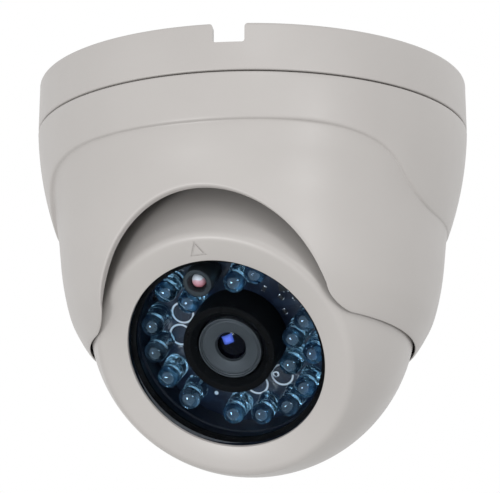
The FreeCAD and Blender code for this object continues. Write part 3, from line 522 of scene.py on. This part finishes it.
def smoothRead(table, level):
    # a smooth curve through the listed (level, radius) pairs
    if level >= table[0][0]:
        return table[0][1]
    for i in range(len(table) - 1):
        (z0, r0), (z1, r1) = table[i], table[i + 1]
        if level >= z1:
            zBefore, rBefore = table[max(i - 1, 0)]
            zAfter, rAfter = table[min(i + 2, len(table) - 1)]
            slope0 = (r1 - rBefore) / (z1 - zBefore)
            slope1 = (rAfter - r0) / (zAfter - z0)
            span = z1 - z0
            t = (level - z0) / span
            return (r0 * (1 + 2 * t) * (1 - t) ** 2 + slope0 * span * t * (1 - t) ** 2
                    + r1 * t * t * (3 - 2 * t) + slope1 * span * t * t * (t - 1))
    return table[-1][1]


def domeRadius(level):
    return smoothRead(domeShape, level)


def innerRadius(level):
    # inside of the wall, kept clear of the cradle and of the ball
    if level < -46.0:
        return smoothRead(innerFoot, level)
    return domeRadius(level) - housing["wall"]


def skirtRadius(level):
    centre = housing["skirtTop"] - housing["skirtCurve"]
    return centre + math.sqrt(housing["skirtCurve"] ** 2 - (level - housing["skirtLevel"]) ** 2)


def skirtEdgeLevel(azimuth):
    fromFront = abs((math.degrees(azimuth) + 180) % 360 - 180)
    return smoothRead(skirtEdge, -fromFront)


def archOutline(count):
    # half of the opening seen from the front, from its crown out to the foot of the flare
    radius, centre = housing["archRadius"], housing["archCentre"]
    flareLevel = centre + housing["flareRise"]
    flare = flareLevel - housing["flareFoot"]
    endTurn = math.acos(housing["flareRise"] / radius)
    half = math.sqrt(radius ** 2 - housing["flareRise"] ** 2)
    archLength = radius * endTurn
    flareLength = flare * math.pi / 2
    points = []
    for i in range(count + 1):
        along = (archLength + flareLength) * i / count
        if along <= archLength:
            turn = along / radius
            points.append((radius * math.sin(turn), centre + radius * math.cos(turn)))
        else:
            turn = (along - archLength) / flare
            points.append((half + flare - flare * math.cos(turn), flareLevel - flare * math.sin(turn)))
    return points


def wallPoint(radius, azimuth, level):
    # azimuth in radians from the front, towards +x
    return Vector((radius * math.sin(azimuth), -radius * math.cos(azimuth), level))


def housingColumns():
    # for each column: the azimuth at the top, and the outer and inner points of the lower edge
    columns = []
    half = archOutline(housing["archColumns"] // 2)
    sides = [(-x, z) for x, z in half[:0:-1]] + half
    footTurn = 0.0
    for x, z in sides:
        z = max(z, housing["rim"])
        outer = domeRadius(z)
        inner = innerRadius(z)
        turn = math.asin(max(-1.0, min(1.0, x / outer)))
        innerTurn = math.asin(max(-1.0, min(1.0, x / inner)))
        footTurn = max(footTurn, turn)
        columns.append((turn, innerTurn, z))
    backCount = housing["columns"] - len(columns)
    for i in range(1, backCount + 1):
        turn = footTurn + (2 * math.pi - 2 * footTurn) * i / (backCount + 1)
        columns.append((turn, turn, housing["rim"]))
    return columns


def housingGrid():
    # rows of points down the outside, round the lower lip and up the inside
    columns = housingColumns()
    count = len(columns)
    middle = housing["archColumns"] / 2
    rows = []
    top, lip = housing["top"], housing["lipRound"]
    for i, (turn, innerTurn, low) in enumerate(columns):
        topTurn = (i - middle) / count * 2 * math.pi

        def turnAt(level, foot):
            share = (top - level) / (top - low)
            return topTurn + (foot - topTurn) * max(share, 0) ** 1.6

        # where the skirt ends on this column
        crease = housing["skirtBack"]
        for _ in range(12):
            wanted = skirtEdgeLevel(turnAt(crease, turn))
            crease = crease + (wanted - crease) * 0.6
        column = []
        roundTop = housing["topRound"]
        for j in range(4):
            swing = math.radians(90 - 30 * j)
            level = top - roundTop * (1 - math.sin(swing))
            radius = skirtRadius(level) - roundTop * (1 - math.cos(swing))
            column.append(wallPoint(radius, topTurn, level))
        upper = top - roundTop
        for j in range(1, housing["rowsAbove"] + 1):
            level = upper + (crease + 0.35 - upper) * j / housing["rowsAbove"]
            column.append(wallPoint(skirtRadius(level), turnAt(level, turn), level))
        # rounded edge of the skirt, then the fillet into the dome
        for drop, share in ((0.24, 0.93), (0.08, 0.70), (0.0, 0.42), (-0.05, 0.16), (-0.18, 0.03)):
            level = crease + drop
            radius = domeRadius(level) + (skirtRadius(level) - domeRadius(level)) * share
            column.append(wallPoint(radius, turnAt(level, turn), level))
        lower = crease - 0.5
        end = low + lip
        for j in range(housing["rowsBelow"] + 1):
            level = lower + (end - lower) * j / housing["rowsBelow"]
            column.append(wallPoint(domeRadius(level), turnAt(level, turn), level))
        column += lipPoints(turn, innerTurn, low, column[-1], lip)
        # the inside, from the lip to the top
        steps = 22
        start = low + lip
        for j in range(steps + 1):
            level = start + (top - start) * j / steps
            share = (top - level) / (top - low)
            azimuth = topTurn + (innerTurn - topTurn) * max(share, 0) ** 1.6
            column.append(wallPoint(innerRadius(level), azimuth, level))
        rows.append(column)
    return rows


def lipPoints(turn, innerTurn, low, outerStart, lip):
    # the cut edge of the wall: outer round, flat, inner round
    outer = wallPoint(domeRadius(low), turn, low)
    inner = wallPoint(innerRadius(low), innerTurn, low)
    innerEnd = wallPoint(innerRadius(low + lip), innerTurn, low + lip)
    across = inner - outer
    reach = min(lip, across.length * 0.45)
    flatStart = outer + across.normalized() * reach
    flatEnd = inner - across.normalized() * reach
    points = []
    for a, corner, b in ((outerStart, outer, flatStart), (flatEnd, inner, innerEnd)):
        for j in range(1 if a is outerStart else 0, 6 if a is outerStart else 5):
            t = j / 5
            points.append(a * (1 - t) ** 2 + corner * 2 * t * (1 - t) + b * t * t)
    return points


def wrapGrid(rows):
    # a flat grid laid over the listed points, closed both ways
    deselectAll()
    across, down = len(rows), len(rows[0])
    bpy.ops.mesh.primitive_grid_add(x_subdivisions=across, y_subdivisions=down, size=100)
    piece = bpy.context.object
    for vertex in piece.data.vertices:
        i = round((vertex.co.x + 50) / 100 * across)
        j = round((vertex.co.y + 50) / 100 * down)
        vertex.co = rows[i % across][j % down]
    cleanUp(piece)
    return piece


housingShell = wrapGrid(housingGrid())


def addLugs():
    # three screw lugs inside the top of the cover
    lugs = []
    for i in range(3):
        lug = addBlock((9, 7.4, 8.2), (0, 40.6, -16.0), 0.5)
        hole = addBar(1.5, -25, -10, (0, 39.4), 32)
        cutAway(lug, hole)
        lug.data.transform(Matrix.Rotation(2 * math.pi * i / 3, 4, "Z"))
        lugs.append(lug)
    return lugs


joinInto(housingShell, addLugs())
placed(housingShell, "housingShell", inTurret, "housing", paints["shellPlastic"],
       ["housing_cover"], 40)
print("housing:", len(housingShell.data.polygons), "faces")


base = {"top": 46.8, "seam": 47.15, "height": 10.8, "wall": 2.4, "floorTop": -5.8, "floor": 2.5,
        "notchHalf": 3.5, "notchDeep": 4.4, "notchRound": 1.0, "bossCircle": 33.0, "steps": 256}


def baseBody():
    inner = base["top"] - base["wall"]
    floorLow = base["floorTop"] - base["floor"]
    corners = [
        (7.0, base["floorTop"], 0.2), (inner, base["floorTop"], 0.6), (inner, 0, 0.3),
        (base["top"], 0, 0.7), (base["seam"], -base["height"], 0.45), (inner, -base["height"], 0.2),
        (inner, floorLow, 0.4), (11.0, floorLow, 0.3), (11.0, -12.3, 0.15), (7.0, -12.3, 0.15),
    ]
    body = spinOutline(rounded(corners), base["steps"])
    cutAway(body, notchTool())
    turns = [2 * math.pi * i / 3 for i in range(3)]
    places = [(base["bossCircle"] * math.sin(turn), base["bossCircle"] * math.cos(turn)) for turn in turns]
    # every hole is cut before any boss is joined, so each cut meets one clean skin
    for place in places:
        cutAway(body, addBar(2.2, -20, 5, place, 48))
    bosses = []
    for place in places:
        boss = spinOutline(rounded([(2.2, 0, 0.25), (4.2, 0, 0.35), (4.2, base["floorTop"] - 0.6, 0),
                                    (2.2, base["floorTop"] - 0.6, 0)]), 48)
        boss.data.transform(Matrix.Translation((*place, 0)))
        bosses.append(boss)
    joinInto(body, bosses)
    return body


def notchTool():
    # the cable way: straight sides, corners rounded where they meet the rim
    half, deep, size = base["notchHalf"], base["notchDeep"], base["notchRound"]
    outline = [(-half + 0.5, -deep), (half - 0.5, -deep), (half - 0.15, -deep + 0.15), (half, -deep + 0.5)]
    right = [(half + size * (1 - math.cos(math.radians(a))), -size + size * math.sin(math.radians(a)))
             for a in range(0, 91, 15)]
    outline += right + [(half + size + 0.01, 3), (-half - size - 0.01, 3)]
    outline += [(-x, z) for x, z in reversed(right)]
    outline += [(-half, -deep + 0.5), (-half + 0.15, -deep + 0.15)]
    tool = drawOutline(outline + outline[:1])
    bpy.ops.object.mode_set(mode="EDIT")
    bpy.ops.mesh.select_all(action="SELECT")
    bpy.ops.mesh.remove_doubles(threshold=0.0001)
    bpy.ops.mesh.edge_face_add()
    bpy.ops.mesh.extrude_region_move(TRANSFORM_OT_translate={"value": (0, -12, 0)})
    bpy.ops.mesh.select_all(action="SELECT")
    bpy.ops.mesh.normals_make_consistent(inside=False)
    bpy.ops.object.mode_set(mode="OBJECT")
    tool.data.transform(Matrix.Translation((0, -39.5, 0)))
    return tool


baseRing = baseBody()
placed(baseRing, "baseRing", inBase, "base", paints["shellPlastic"], ["mounting_base"], 30)
print("base:", len(baseRing.data.polygons), "faces")


ball = {"radius": 35.9, "wall": 2.4, "seam": -18.0, "flat": -33.5, "crease": (28.8, 21.5),
        "bezelInner": (22.5, 20.6), "steps": 256, "hub": 7.5}


def ballFront():
    radius, wall = ball["radius"], ball["wall"]
    creaseR, creaseZ = ball["crease"]
    seamTurn = math.degrees(math.acos(ball["seam"] / radius))
    creaseTurn = math.degrees(math.acos((creaseZ - 1.3) / radius))
    outside = arcOutline(radius, 0, creaseTurn, seamTurn - 0.4, 64)
    start = Vector((creaseR - 1.4, creaseZ - 0.2))
    corner = Vector((creaseR + 0.05, creaseZ + 0.05))
    end = Vector(outside[0])
    edge = [start * (1 - t) ** 2 + corner * 2 * t * (1 - t) + end * t * t
            for t in [k / 8 for k in range(8)]]
    bezelR, bezelZ = ball["bezelInner"]
    bezel = [(bezelR, bezelZ - 0.35), (bezelR + 0.05, bezelZ - 0.12), (bezelR + 0.3, bezelZ)]
    innerRadiusHere = radius - wall
    inSeam = math.degrees(math.acos(ball["seam"] / innerRadiusHere))
    bezelBack = creaseZ - 3.0
    inCrease = math.degrees(math.acos(bezelBack / innerRadiusHere))
    inside = arcOutline(innerRadiusHere, 0, inSeam, inCrease, 24)
    seamR = math.sqrt(radius ** 2 - ball["seam"] ** 2)
    pot = [(24.2, bezelBack), (24.2, 5.9), (20.2, 5.9), (20.2, 7.4), (bezelR, 7.4)]
    outline = bezel + [(p.x, p.y) for p in edge] + outside + [(seamR - 0.25, ball["seam"])] + inside + pot
    front = spinOutline(outline, ball["steps"])
    cutAway(front, markTool())
    return front


def markTool():
    # three thin bars joined into a triangle, leaning with the bezel
    slope = math.atan2(ball["crease"][1] - ball["bezelInner"][1], ball["crease"][0] - ball["bezelInner"][0])
    deselectAll()
    bpy.ops.mesh.primitive_cylinder_add(vertices=3, radius=1.0, depth=2.0, location=(0, 0, 0.8))
    tool = bpy.context.object
    bpy.ops.object.transform_apply(location=True)
    cornersNow = sorted(tool.data.vertices, key=lambda v: v.co.y)
    for vertex in cornersNow:
        tip = vertex.co.y > 0.5
        vertex.co.x = 0 if tip else math.copysign(1.9, vertex.co.x)
        vertex.co.y = 2.0 if tip else -1.8
    core = copyOf(tool)
    for vertex in core.data.vertices:
        tip = vertex.co.y > 0.5
        vertex.co.x = 0 if tip else math.copysign(1.9 - 0.72, vertex.co.x)
        vertex.co.y = 2.0 - 0.95 if tip else -1.8 + 0.4
        vertex.co.z = vertex.co.z * 1.5
    cutAway(tool, core)
    middle = 25.8
    height = ball["bezelInner"][1] + (middle - ball["bezelInner"][0]) * math.tan(slope)
    tool.data.transform(Matrix.Translation((0, middle, height)) @ Matrix.Rotation(slope, 4, "X"))
    return tool


ballFrontShell = ballFront()
placed(ballFrontShell, "ballFrontShell", inLens, "ball", paints["ballPlastic"],
       ["ball_shell"], 30)
print("ball front:", len(ballFrontShell.data.polygons), "faces")


def ballBack():
    radius, wall, seam = ball["radius"], ball["wall"], ball["seam"]
    innerR = radius - wall
    startTurn = math.degrees(math.acos((seam - 0.25) / radius))
    endTurn = math.degrees(math.acos(ball["flat"] / radius))
    outside = arcOutline(radius, 0, startTurn, endTurn, 28)
    inFlat = ball["flat"] + wall
    inside = arcOutline(innerR, 0, math.degrees(math.acos(inFlat / innerR)),
                        math.degrees(math.acos(seam / innerR)), 16)
    hub = [(ball["hub"], ball["flat"]), (ball["hub"], ball["flat"] - 1.5), (ball["hub"] - 0.8, ball["flat"] - 1.5),
           (ball["hub"] - 0.8, ball["flat"] - 2.2), (ball["hub"], ball["flat"] - 2.2),
           (ball["hub"] - 0.2, ball["flat"] - 2.5), (4.5, ball["flat"] - 2.5), (4.5, inFlat)]
    seamR = math.sqrt(radius ** 2 - seam ** 2)
    back = spinOutline([(seamR - 0.25, seam)] + outside + hub + inside, ball["steps"])
    for i in range(3):
        turn = math.radians(60 + 120 * i)
        place = (25.6 * math.sin(-turn), 25.6 * math.cos(turn))
        cutAway(back, addBar(2.2, -60, seam - 3.4, place, 40))
    return back


ballBackShell = ballBack()
placed(ballBackShell, "ballBackShell", inLens, "ball", paints["ballPlastic"],
       ["ball_rear_cap"], 30)
print("ball back:", len(ballBackShell.data.polygons), "faces")


window = {"front": 20.0, "thick": 1.6, "radius": 22.45, "baffleStep": 14.4, "board": boardLevel, "boardThick": 1.6}


def windowPane():
    low = window["front"] - window["thick"]
    outline = rounded([(0, low, 0), (window["radius"], low, 0.15), (window["radius"], window["front"], 0.3),
                       (0, window["front"], 0)])
    start = [(0, low)] + [p for p in outline if p[0] > 0] + [(0, window["front"])]
    return spinOutline(start, 192, closed=False)


placed(windowPane(), "windowPane", inLens, "ball", paints["clearPane"], ["front_window"], 30)


def potLining():
    # black lining with a step that the window's light stops at
    high = window["front"] - window["thick"] - 0.6
    step, low = window["baffleStep"], window["board"]
    corners = [(22.4, low, 0), (22.4, high, 0.1), (22.05, high, 0.2), (21.95, step, 0.2),
               (21.5, step - 0.3, 0.2), (21.45, low, 0)]
    return spinOutline(rounded(corners), 192)


placed(potLining(), "potLining", inLens, "ball", paints["baffleBlack"], ["light_baffle"], 30)


def circuitBoard():
    low = window["board"] - window["boardThick"]
    corners = [(8.3, low, 0.05), (22.3, low, 0.05), (22.3, window["board"], 0.05), (8.3, window["board"], 0.05)]
    board = spinOutline(rounded(corners, 2), 128)
    for turn in (58, 252, 300):
        place = (20.4 * math.sin(math.radians(turn)), 20.4 * math.cos(math.radians(turn)))
        cutAway(board, addBar(0.6, 0, 20, place, 24))
    return board


placed(circuitBoard(), "ledCircuitBoard", inLens, "ball", paints["boardMask"], ["led_board"], 30)

leds = {"flange": 2.65, "body": 2.5, "domeCentre": 6.1}
# distance from the lens axis and angle clockwise from the top of the picture
ledPlaces = [
    (18.4, 103.5), (18.4, 131.0), (18.3, 151.0), (17.4, 172.0), (16.8, 193.7), (17.6, 228.7),
    (17.7, 250.2), (18.2, 270.6), (18.4, 290.8), (18.6, 319.5), (13.3, 325.5), (15.2, 16.1),
    (18.6, 30.5), (18.4, 78.5), (14.2, 91.0), (13.5, 117.9),
]


def ledLens():
    # flange, straight body and round nose, with the flat on the flange
    nose = arcOutline(leds["body"], leds["domeCentre"], 90, 0, 14)
    outline = [(0, 0), (leds["flange"] - 0.1, 0), (leds["flange"], 0.12), (leds["flange"], 0.85),
               (leds["flange"] - 0.12, 1.0), (leds["body"] + 0.12, 1.02), (leds["body"], 1.2)] + nose
    body = spinOutline(outline, 48, closed=False)
    for vertex in body.data.vertices:
        if vertex.co.x > leds["body"] and vertex.co.z < 1.01:
            vertex.co.x = leds["body"]
    return body


def ledMetal():
    # the post with its reflector cup, the slimmer second post, the bond wire and the legs
    anvil = addBlock((1.1, 0.4, 2.6), (-0.3, 0, 1.8), 0.06)
    cup = addBar(0.75, 3.1, 3.9, (0, 0), 32)
    bpy.ops.object.mode_set(mode="EDIT")
    bpy.ops.mesh.select_all(action="DESELECT")
    bpy.ops.object.mode_set(mode="OBJECT")
    for face in cup.data.polygons:
        face.select = face.normal.z > 0.9
    bpy.ops.object.mode_set(mode="EDIT")
    bpy.ops.mesh.inset(thickness=0.1)
    bpy.ops.mesh.extrude_region_move(TRANSFORM_OT_translate={"value": (0, 0, -0.35)})
    bpy.ops.transform.resize(value=(0.6, 0.6, 1))
    bpy.ops.object.mode_set(mode="OBJECT")
    post = addBlock((0.5, 0.35, 3.0), (1.05, 0, 2.0), 0.06)
    chip = addBlock((0.3, 0.3, 0.2), (0, 0, 3.64), 0.03)
    wire = addBlock((1.05, 0.06, 0.06), (0.52, 0, 3.98), 0.02)
    legs = [addBlock((0.5, 0.5, 1.2), (x, 0, 0.55), 0.05) for x in (-1.1, 1.35)]
    return joinInto(anvil, [cup, post, chip, wire] + legs)


lensMaster = ledLens()
metalMaster = ledMetal()
inwardTurn = math.pi / 2
for number, (distance, angle) in enumerate(ledPlaces, 1):
    turn = math.radians(angle)
    place = Vector((distance * math.sin(turn), distance * math.cos(turn), window["board"]))
    facing = Matrix.Translation(place) @ Matrix.Rotation(-turn + inwardTurn, 4, "Z")
    name = "infrared_led_%02d" % number
    placed(copyOf(lensMaster), "ledLens%02d" % number, inLens @ facing, "ball",
           paints["ledEpoxy"], [name], 40)
    placed(copyOf(metalMaster), "ledMetal%02d" % number, inLens @ facing, "ball",
           paints["brightSilver"])
for master in (lensMaster, metalMaster):
    bpy.data.objects.remove(master)
print("lamps:", len(ledPlaces))


# printed circles, two white dots that are painted highlights standing in for small glints, and one plated eyelet
# on the board: distance and angle
inkAndGlints = {"rings": [(13.2, 149.0), (12.7, 177.7), (13.6, -63.6), (14.0, -86.2)], "ringRadius": 2.6,
       "glintDots": [(16.76, -145.7), (16.92, -123.9)], "glintRadius": 0.45, "eyelet": (12.24, 153.9)}


def inkRingsAndGlints():
    marks = []
    outer = inkAndGlints["ringRadius"]
    for distance, angle in inkAndGlints["rings"]:
        ring = spinOutline([(outer - 0.42, -0.03), (outer, -0.03), (outer, 0.03), (outer - 0.42, 0.03)], 48)
        ring.data.transform(onBoard(distance, angle))
        marks.append(ring)
    # these white dots are painted highlights, standing in for small glints
    for distance, angle in inkAndGlints["glintDots"]:
        glintDot = addBar(inkAndGlints["glintRadius"], -0.03, 0.03)
        glintDot.data.transform(onBoard(distance, angle))
        marks.append(glintDot)
    return joinInto(marks[0], marks[1:])


def boardEyelet():
    eyelet = spinOutline([(0.35, -0.1), (0.8, -0.1), (0.8, 0.08), (0.7, 0.12), (0.42, 0.12), (0.35, 0.06)], 40)
    eyelet.data.transform(onBoard(*inkAndGlints["eyelet"]))
    return eyelet


placed(inkRingsAndGlints(), "boardInkAndGlints", inLens, "ball", paints["whiteInkAndGlints"])
placed(boardEyelet(), "boardEyelet", inLens, "ball", paints["brightSilver"])


# distance, angle and turn of the small parts on the open side of the board
boardSpots = [(20.7, 43.5, 90), (20.9, 48.5, 0), (20.8, 54.5, 90), (20.9, 60.5, 90), (20.7, 66.0, 0),
              (12.6, 40.0, 90), (13.4, 58.0, 0), (16.2, 66.0, 90), (12.0, 72.0, 0)]


def boardParts():
    # resistors with plated ends, and one driver with three legs
    bodies, ends = [], []
    for distance, angle, lean in boardSpots:
        place = onBoard(distance, angle) @ Matrix.Rotation(math.radians(lean - angle), 4, "Z")
        body = addBlock((1.15, 0.75, 0.45), (0, 0, 0.24), 0.05)
        caps = joinInto(addBlock((0.2, 0.8, 0.4), (-0.62, 0, 0.2), 0.04),
                        [addBlock((0.2, 0.8, 0.4), (0.62, 0, 0.2), 0.04)])
        for part, pile in ((body, bodies), (caps, ends)):
            part.data.transform(place)
            pile.append(part)
    middle = onBoard(16.4, 54.0)
    driver = addBlock((3.0, 1.6, 1.1), (0, 0, 0.6), 0.08)
    driver.data.transform(middle)
    bodies.append(driver)
    for x in (-1.0, 0.0, 1.0):
        leg = addBlock((0.4, 0.7, 0.25), (x, -1.1, 0.13), 0.05)
        leg.data.transform(middle)
        ends.append(leg)
    return joinInto(bodies[0], bodies[1:]), joinInto(ends[0], ends[1:])


partBodies, partEnds = boardParts()
placed(partBodies, "boardResistors", inLens, "ball", paints["chipEpoxy"])
placed(partEnds, "boardSolder", inLens, "ball", paints["brightSilver"])

cellPlace = onBoard(cell["distance"], cell["angle"]) @ Matrix.Translation((0, 0, -window["board"]))


def cellSleeve():
    low, high = window["board"], cell["sleeveTop"]
    outer = cell["sleeve"]
    corners = [(1.9, low, 0.1), (outer, low, 0.1), (outer, high, 0.35), (2.2, high, 0.3), (1.9, high - 0.9, 0.2)]
    return spinOutline(rounded(corners), 64)


def cellHead():
    head, low = cell["head"], window["board"]
    nose = arcOutline(head, cell["centre"], 90, 0, 12)
    return spinOutline([(0, low), (head - 0.1, low), (head, low + 0.1)] + nose, 48, closed=False)


placed(cellSleeve(), "daylightSleeve", inLens @ cellPlace, "ball", paints["sleeveBlack"],
       ["photocell_sleeve"])
placed(cellHead(), "daylightCell", inLens @ cellPlace, "ball", paints["cellHead"], ["photocell"])


def lightShield():
    high = window["front"] - window["thick"]
    corners = [(7.6, window["board"], 0.1), (10.5, window["board"], 0.2), (10.5, high, 0.5),
               (8.9, high, 0.5), (7.6, high - 1.4, 0.4)]
    return spinOutline(rounded(corners, 6), 128)


placed(lightShield(), "lensLightShield", inLens, "ball", paints["softRubber"], ["lens_light_shield"])
print("window side done")


lens = {"front": 17.6, "head": 7.15, "thread": 6.0, "back": 7.0, "aperture": 3.2, "seat": 6.4}


def lensBarrel():
    front, way, seat = lens["front"], lens["aperture"], lens["seat"]
    corners = [
        (way, lens["back"] + 1.6, 0), (4.4, lens["back"] + 1.6, 0.05), (4.4, lens["back"], 0.1),
        (lens["thread"], lens["back"], 0.3), (lens["thread"], front - 4.6, 0.1),
        (lens["head"], front - 4.6, 0.25), (lens["head"], front, 0.25), (6.75, front, 0.1),
        (6.65, front - 0.3, 0.1), (seat, front - 0.35, 0.1), (seat, front - 2.8, 0), (way, front - 2.8, 0),
    ]
    return spinOutline(rounded(corners, 4), 128)


def lensHood():
    # the sloping ring that leads down to the front glass
    front, way, seat = lens["front"], lens["aperture"], lens["seat"]
    corners = [(way + 0.02, front - 1.4, 0), (seat, front - 1.4, 0), (seat, front - 0.45, 0.1),
               (seat - 0.3, front - 0.4, 0.1), (way + 0.35, front - 0.75, 0.15)]
    return spinOutline(rounded(corners, 4), 128)


def lensFrontGlass():
    low, seat, half, curve = lens["front"] - 2.8, lens["seat"], lens["aperture"] - 0.1, 9.0
    rim = low + 0.8
    edgeTurn = math.degrees(math.asin(half / curve))
    dome = arcOutline(curve, rim - math.sqrt(curve ** 2 - half ** 2), edgeTurn, 0, 16)
    return spinOutline([(0, low), (seat - 0.05, low), (seat - 0.05, rim - 0.02)] + dome, 96, closed=False)


placed(lensBarrel(), "lensBarrelTurned", inLens, "lens", paints["lensBlack"], ["lens_barrel"])
placed(lensHood(), "lensHoodRing", inLens, "lens", paints["lensBlack"], ["lens_front_ring"])
placed(lensFrontGlass(), "lensFrontGlass", inLens, "lens", paints["frontGlassPaintedReflection"],
       ["lens_front_glass"], 60)
print("lens done")


nodeFinish = {
    "base_cable_grommet": "softRubber", "ball_cable_grommet": "softRubber", "window_gasket": "softRubber",
    "retaining_ring": "zincSteel", "retaining_ring_screws": "zincSteel", "cover_screws": "zincSteel",
    "tilt_cradle": "blackPlastic", "tilt_pins": "zincSteel", "ball_cap_screws": "zincSteel",
    "roll_clip": "zincSteel", "lens_grub_screw": "zincSteel", "holder_screws": "zincSteel",
    "board_screws": "zincSteel", "pan_friction_washer": "pressedFelt", "turntable_plate": "blackPlastic",
    "lens_holder": "blackPlastic", "board_spacers": "turnedBrass", "rear_spacers": "turnedBrass",
    "sensor_board": "boardMask", "power_board": "boardMask", "image_sensor": "chipEpoxy",
    "processor_chip": "chipEpoxy", "power_capacitors": "canSleeve", "cable_socket": "whiteNylon",
    "infrared_filter": "filterCoating", "lens_rear_glass": "filterCoating",
}
for nodeName, finishName in nodeFinish.items():
    mesh = frame["nodes"][nodeName].data
    mesh.materials.clear()
    mesh.materials.append(paints[finishName])
print("frame parts finished:", len(nodeFinish))


studio = {"azimuth": 6.5, "elevation": -16.7, "distance": 4.0, "aim": (-0.00059, -0.00007, -0.0370),
          "viewWidth": 0.1099, "floor": -4.6}


def addStudio():
    scene = bpy.context.scene
    world = bpy.data.worlds.new("paleRoom")
    world.use_nodes = True
    world.node_tree.nodes["Background"].inputs["Color"].default_value = (1, 1, 1, 1)
    world.node_tree.nodes["Background"].inputs["Strength"].default_value = 1.0
    scene.world = world
    scene.view_settings.view_transform = "Standard"
    deselectAll()
    bpy.ops.mesh.primitive_plane_add(size=40, location=(0, 0, studio["floor"]))
    floor = bpy.context.object
    floor.name = "studioFloor"
    floorFinish = mouldedPlastic("paleFloor", (0.80, 0.80, 0.79), (0.84, 0.84, 0.83), 0.7, 0.1)
    floor.data.materials.append(floorFinish)
    addLamp("keyLamp", (-0.45, -0.75, -0.50), 0.22, 3.4)
    addLamp("fillLamp", (0.65, -0.85, -0.05), 0.30, 2.4)
    addLamp("highLamp", (0.15, -0.90, 0.40), 0.12, 0.9)
    addCamera(scene)


def addLamp(name, place, size, power):
    light = bpy.data.lights.new(name, "AREA")
    light.shape = "SQUARE"
    light.size = size
    light.energy = power
    lamp = bpy.data.objects.new(name, light)
    bpy.context.collection.objects.link(lamp)
    lamp.location = place
    aim = Vector((0, 0, -0.045)) - lamp.location
    lamp.rotation_euler = aim.to_track_quat("-Z", "Y").to_euler()


def addCamera(scene):
    azimuth, elevation = math.radians(studio["azimuth"]), math.radians(studio["elevation"])
    back = Vector((math.sin(azimuth) * math.cos(elevation), -math.cos(azimuth) * math.cos(elevation),
                   math.sin(elevation)))
    camera = bpy.data.objects.new("camera", bpy.data.cameras.new("camera"))
    bpy.context.collection.objects.link(camera)
    camera.location = Vector(studio["aim"]) + back * studio["distance"]
    camera.rotation_euler = (-back).to_track_quat("-Z", "Y").to_euler()
    camera.data.sensor_width = 36
    camera.data.lens = 36 * studio["distance"] / studio["viewWidth"]
    camera.data.clip_end = 50
    scene.camera = camera


addStudio()
print("studio ready")
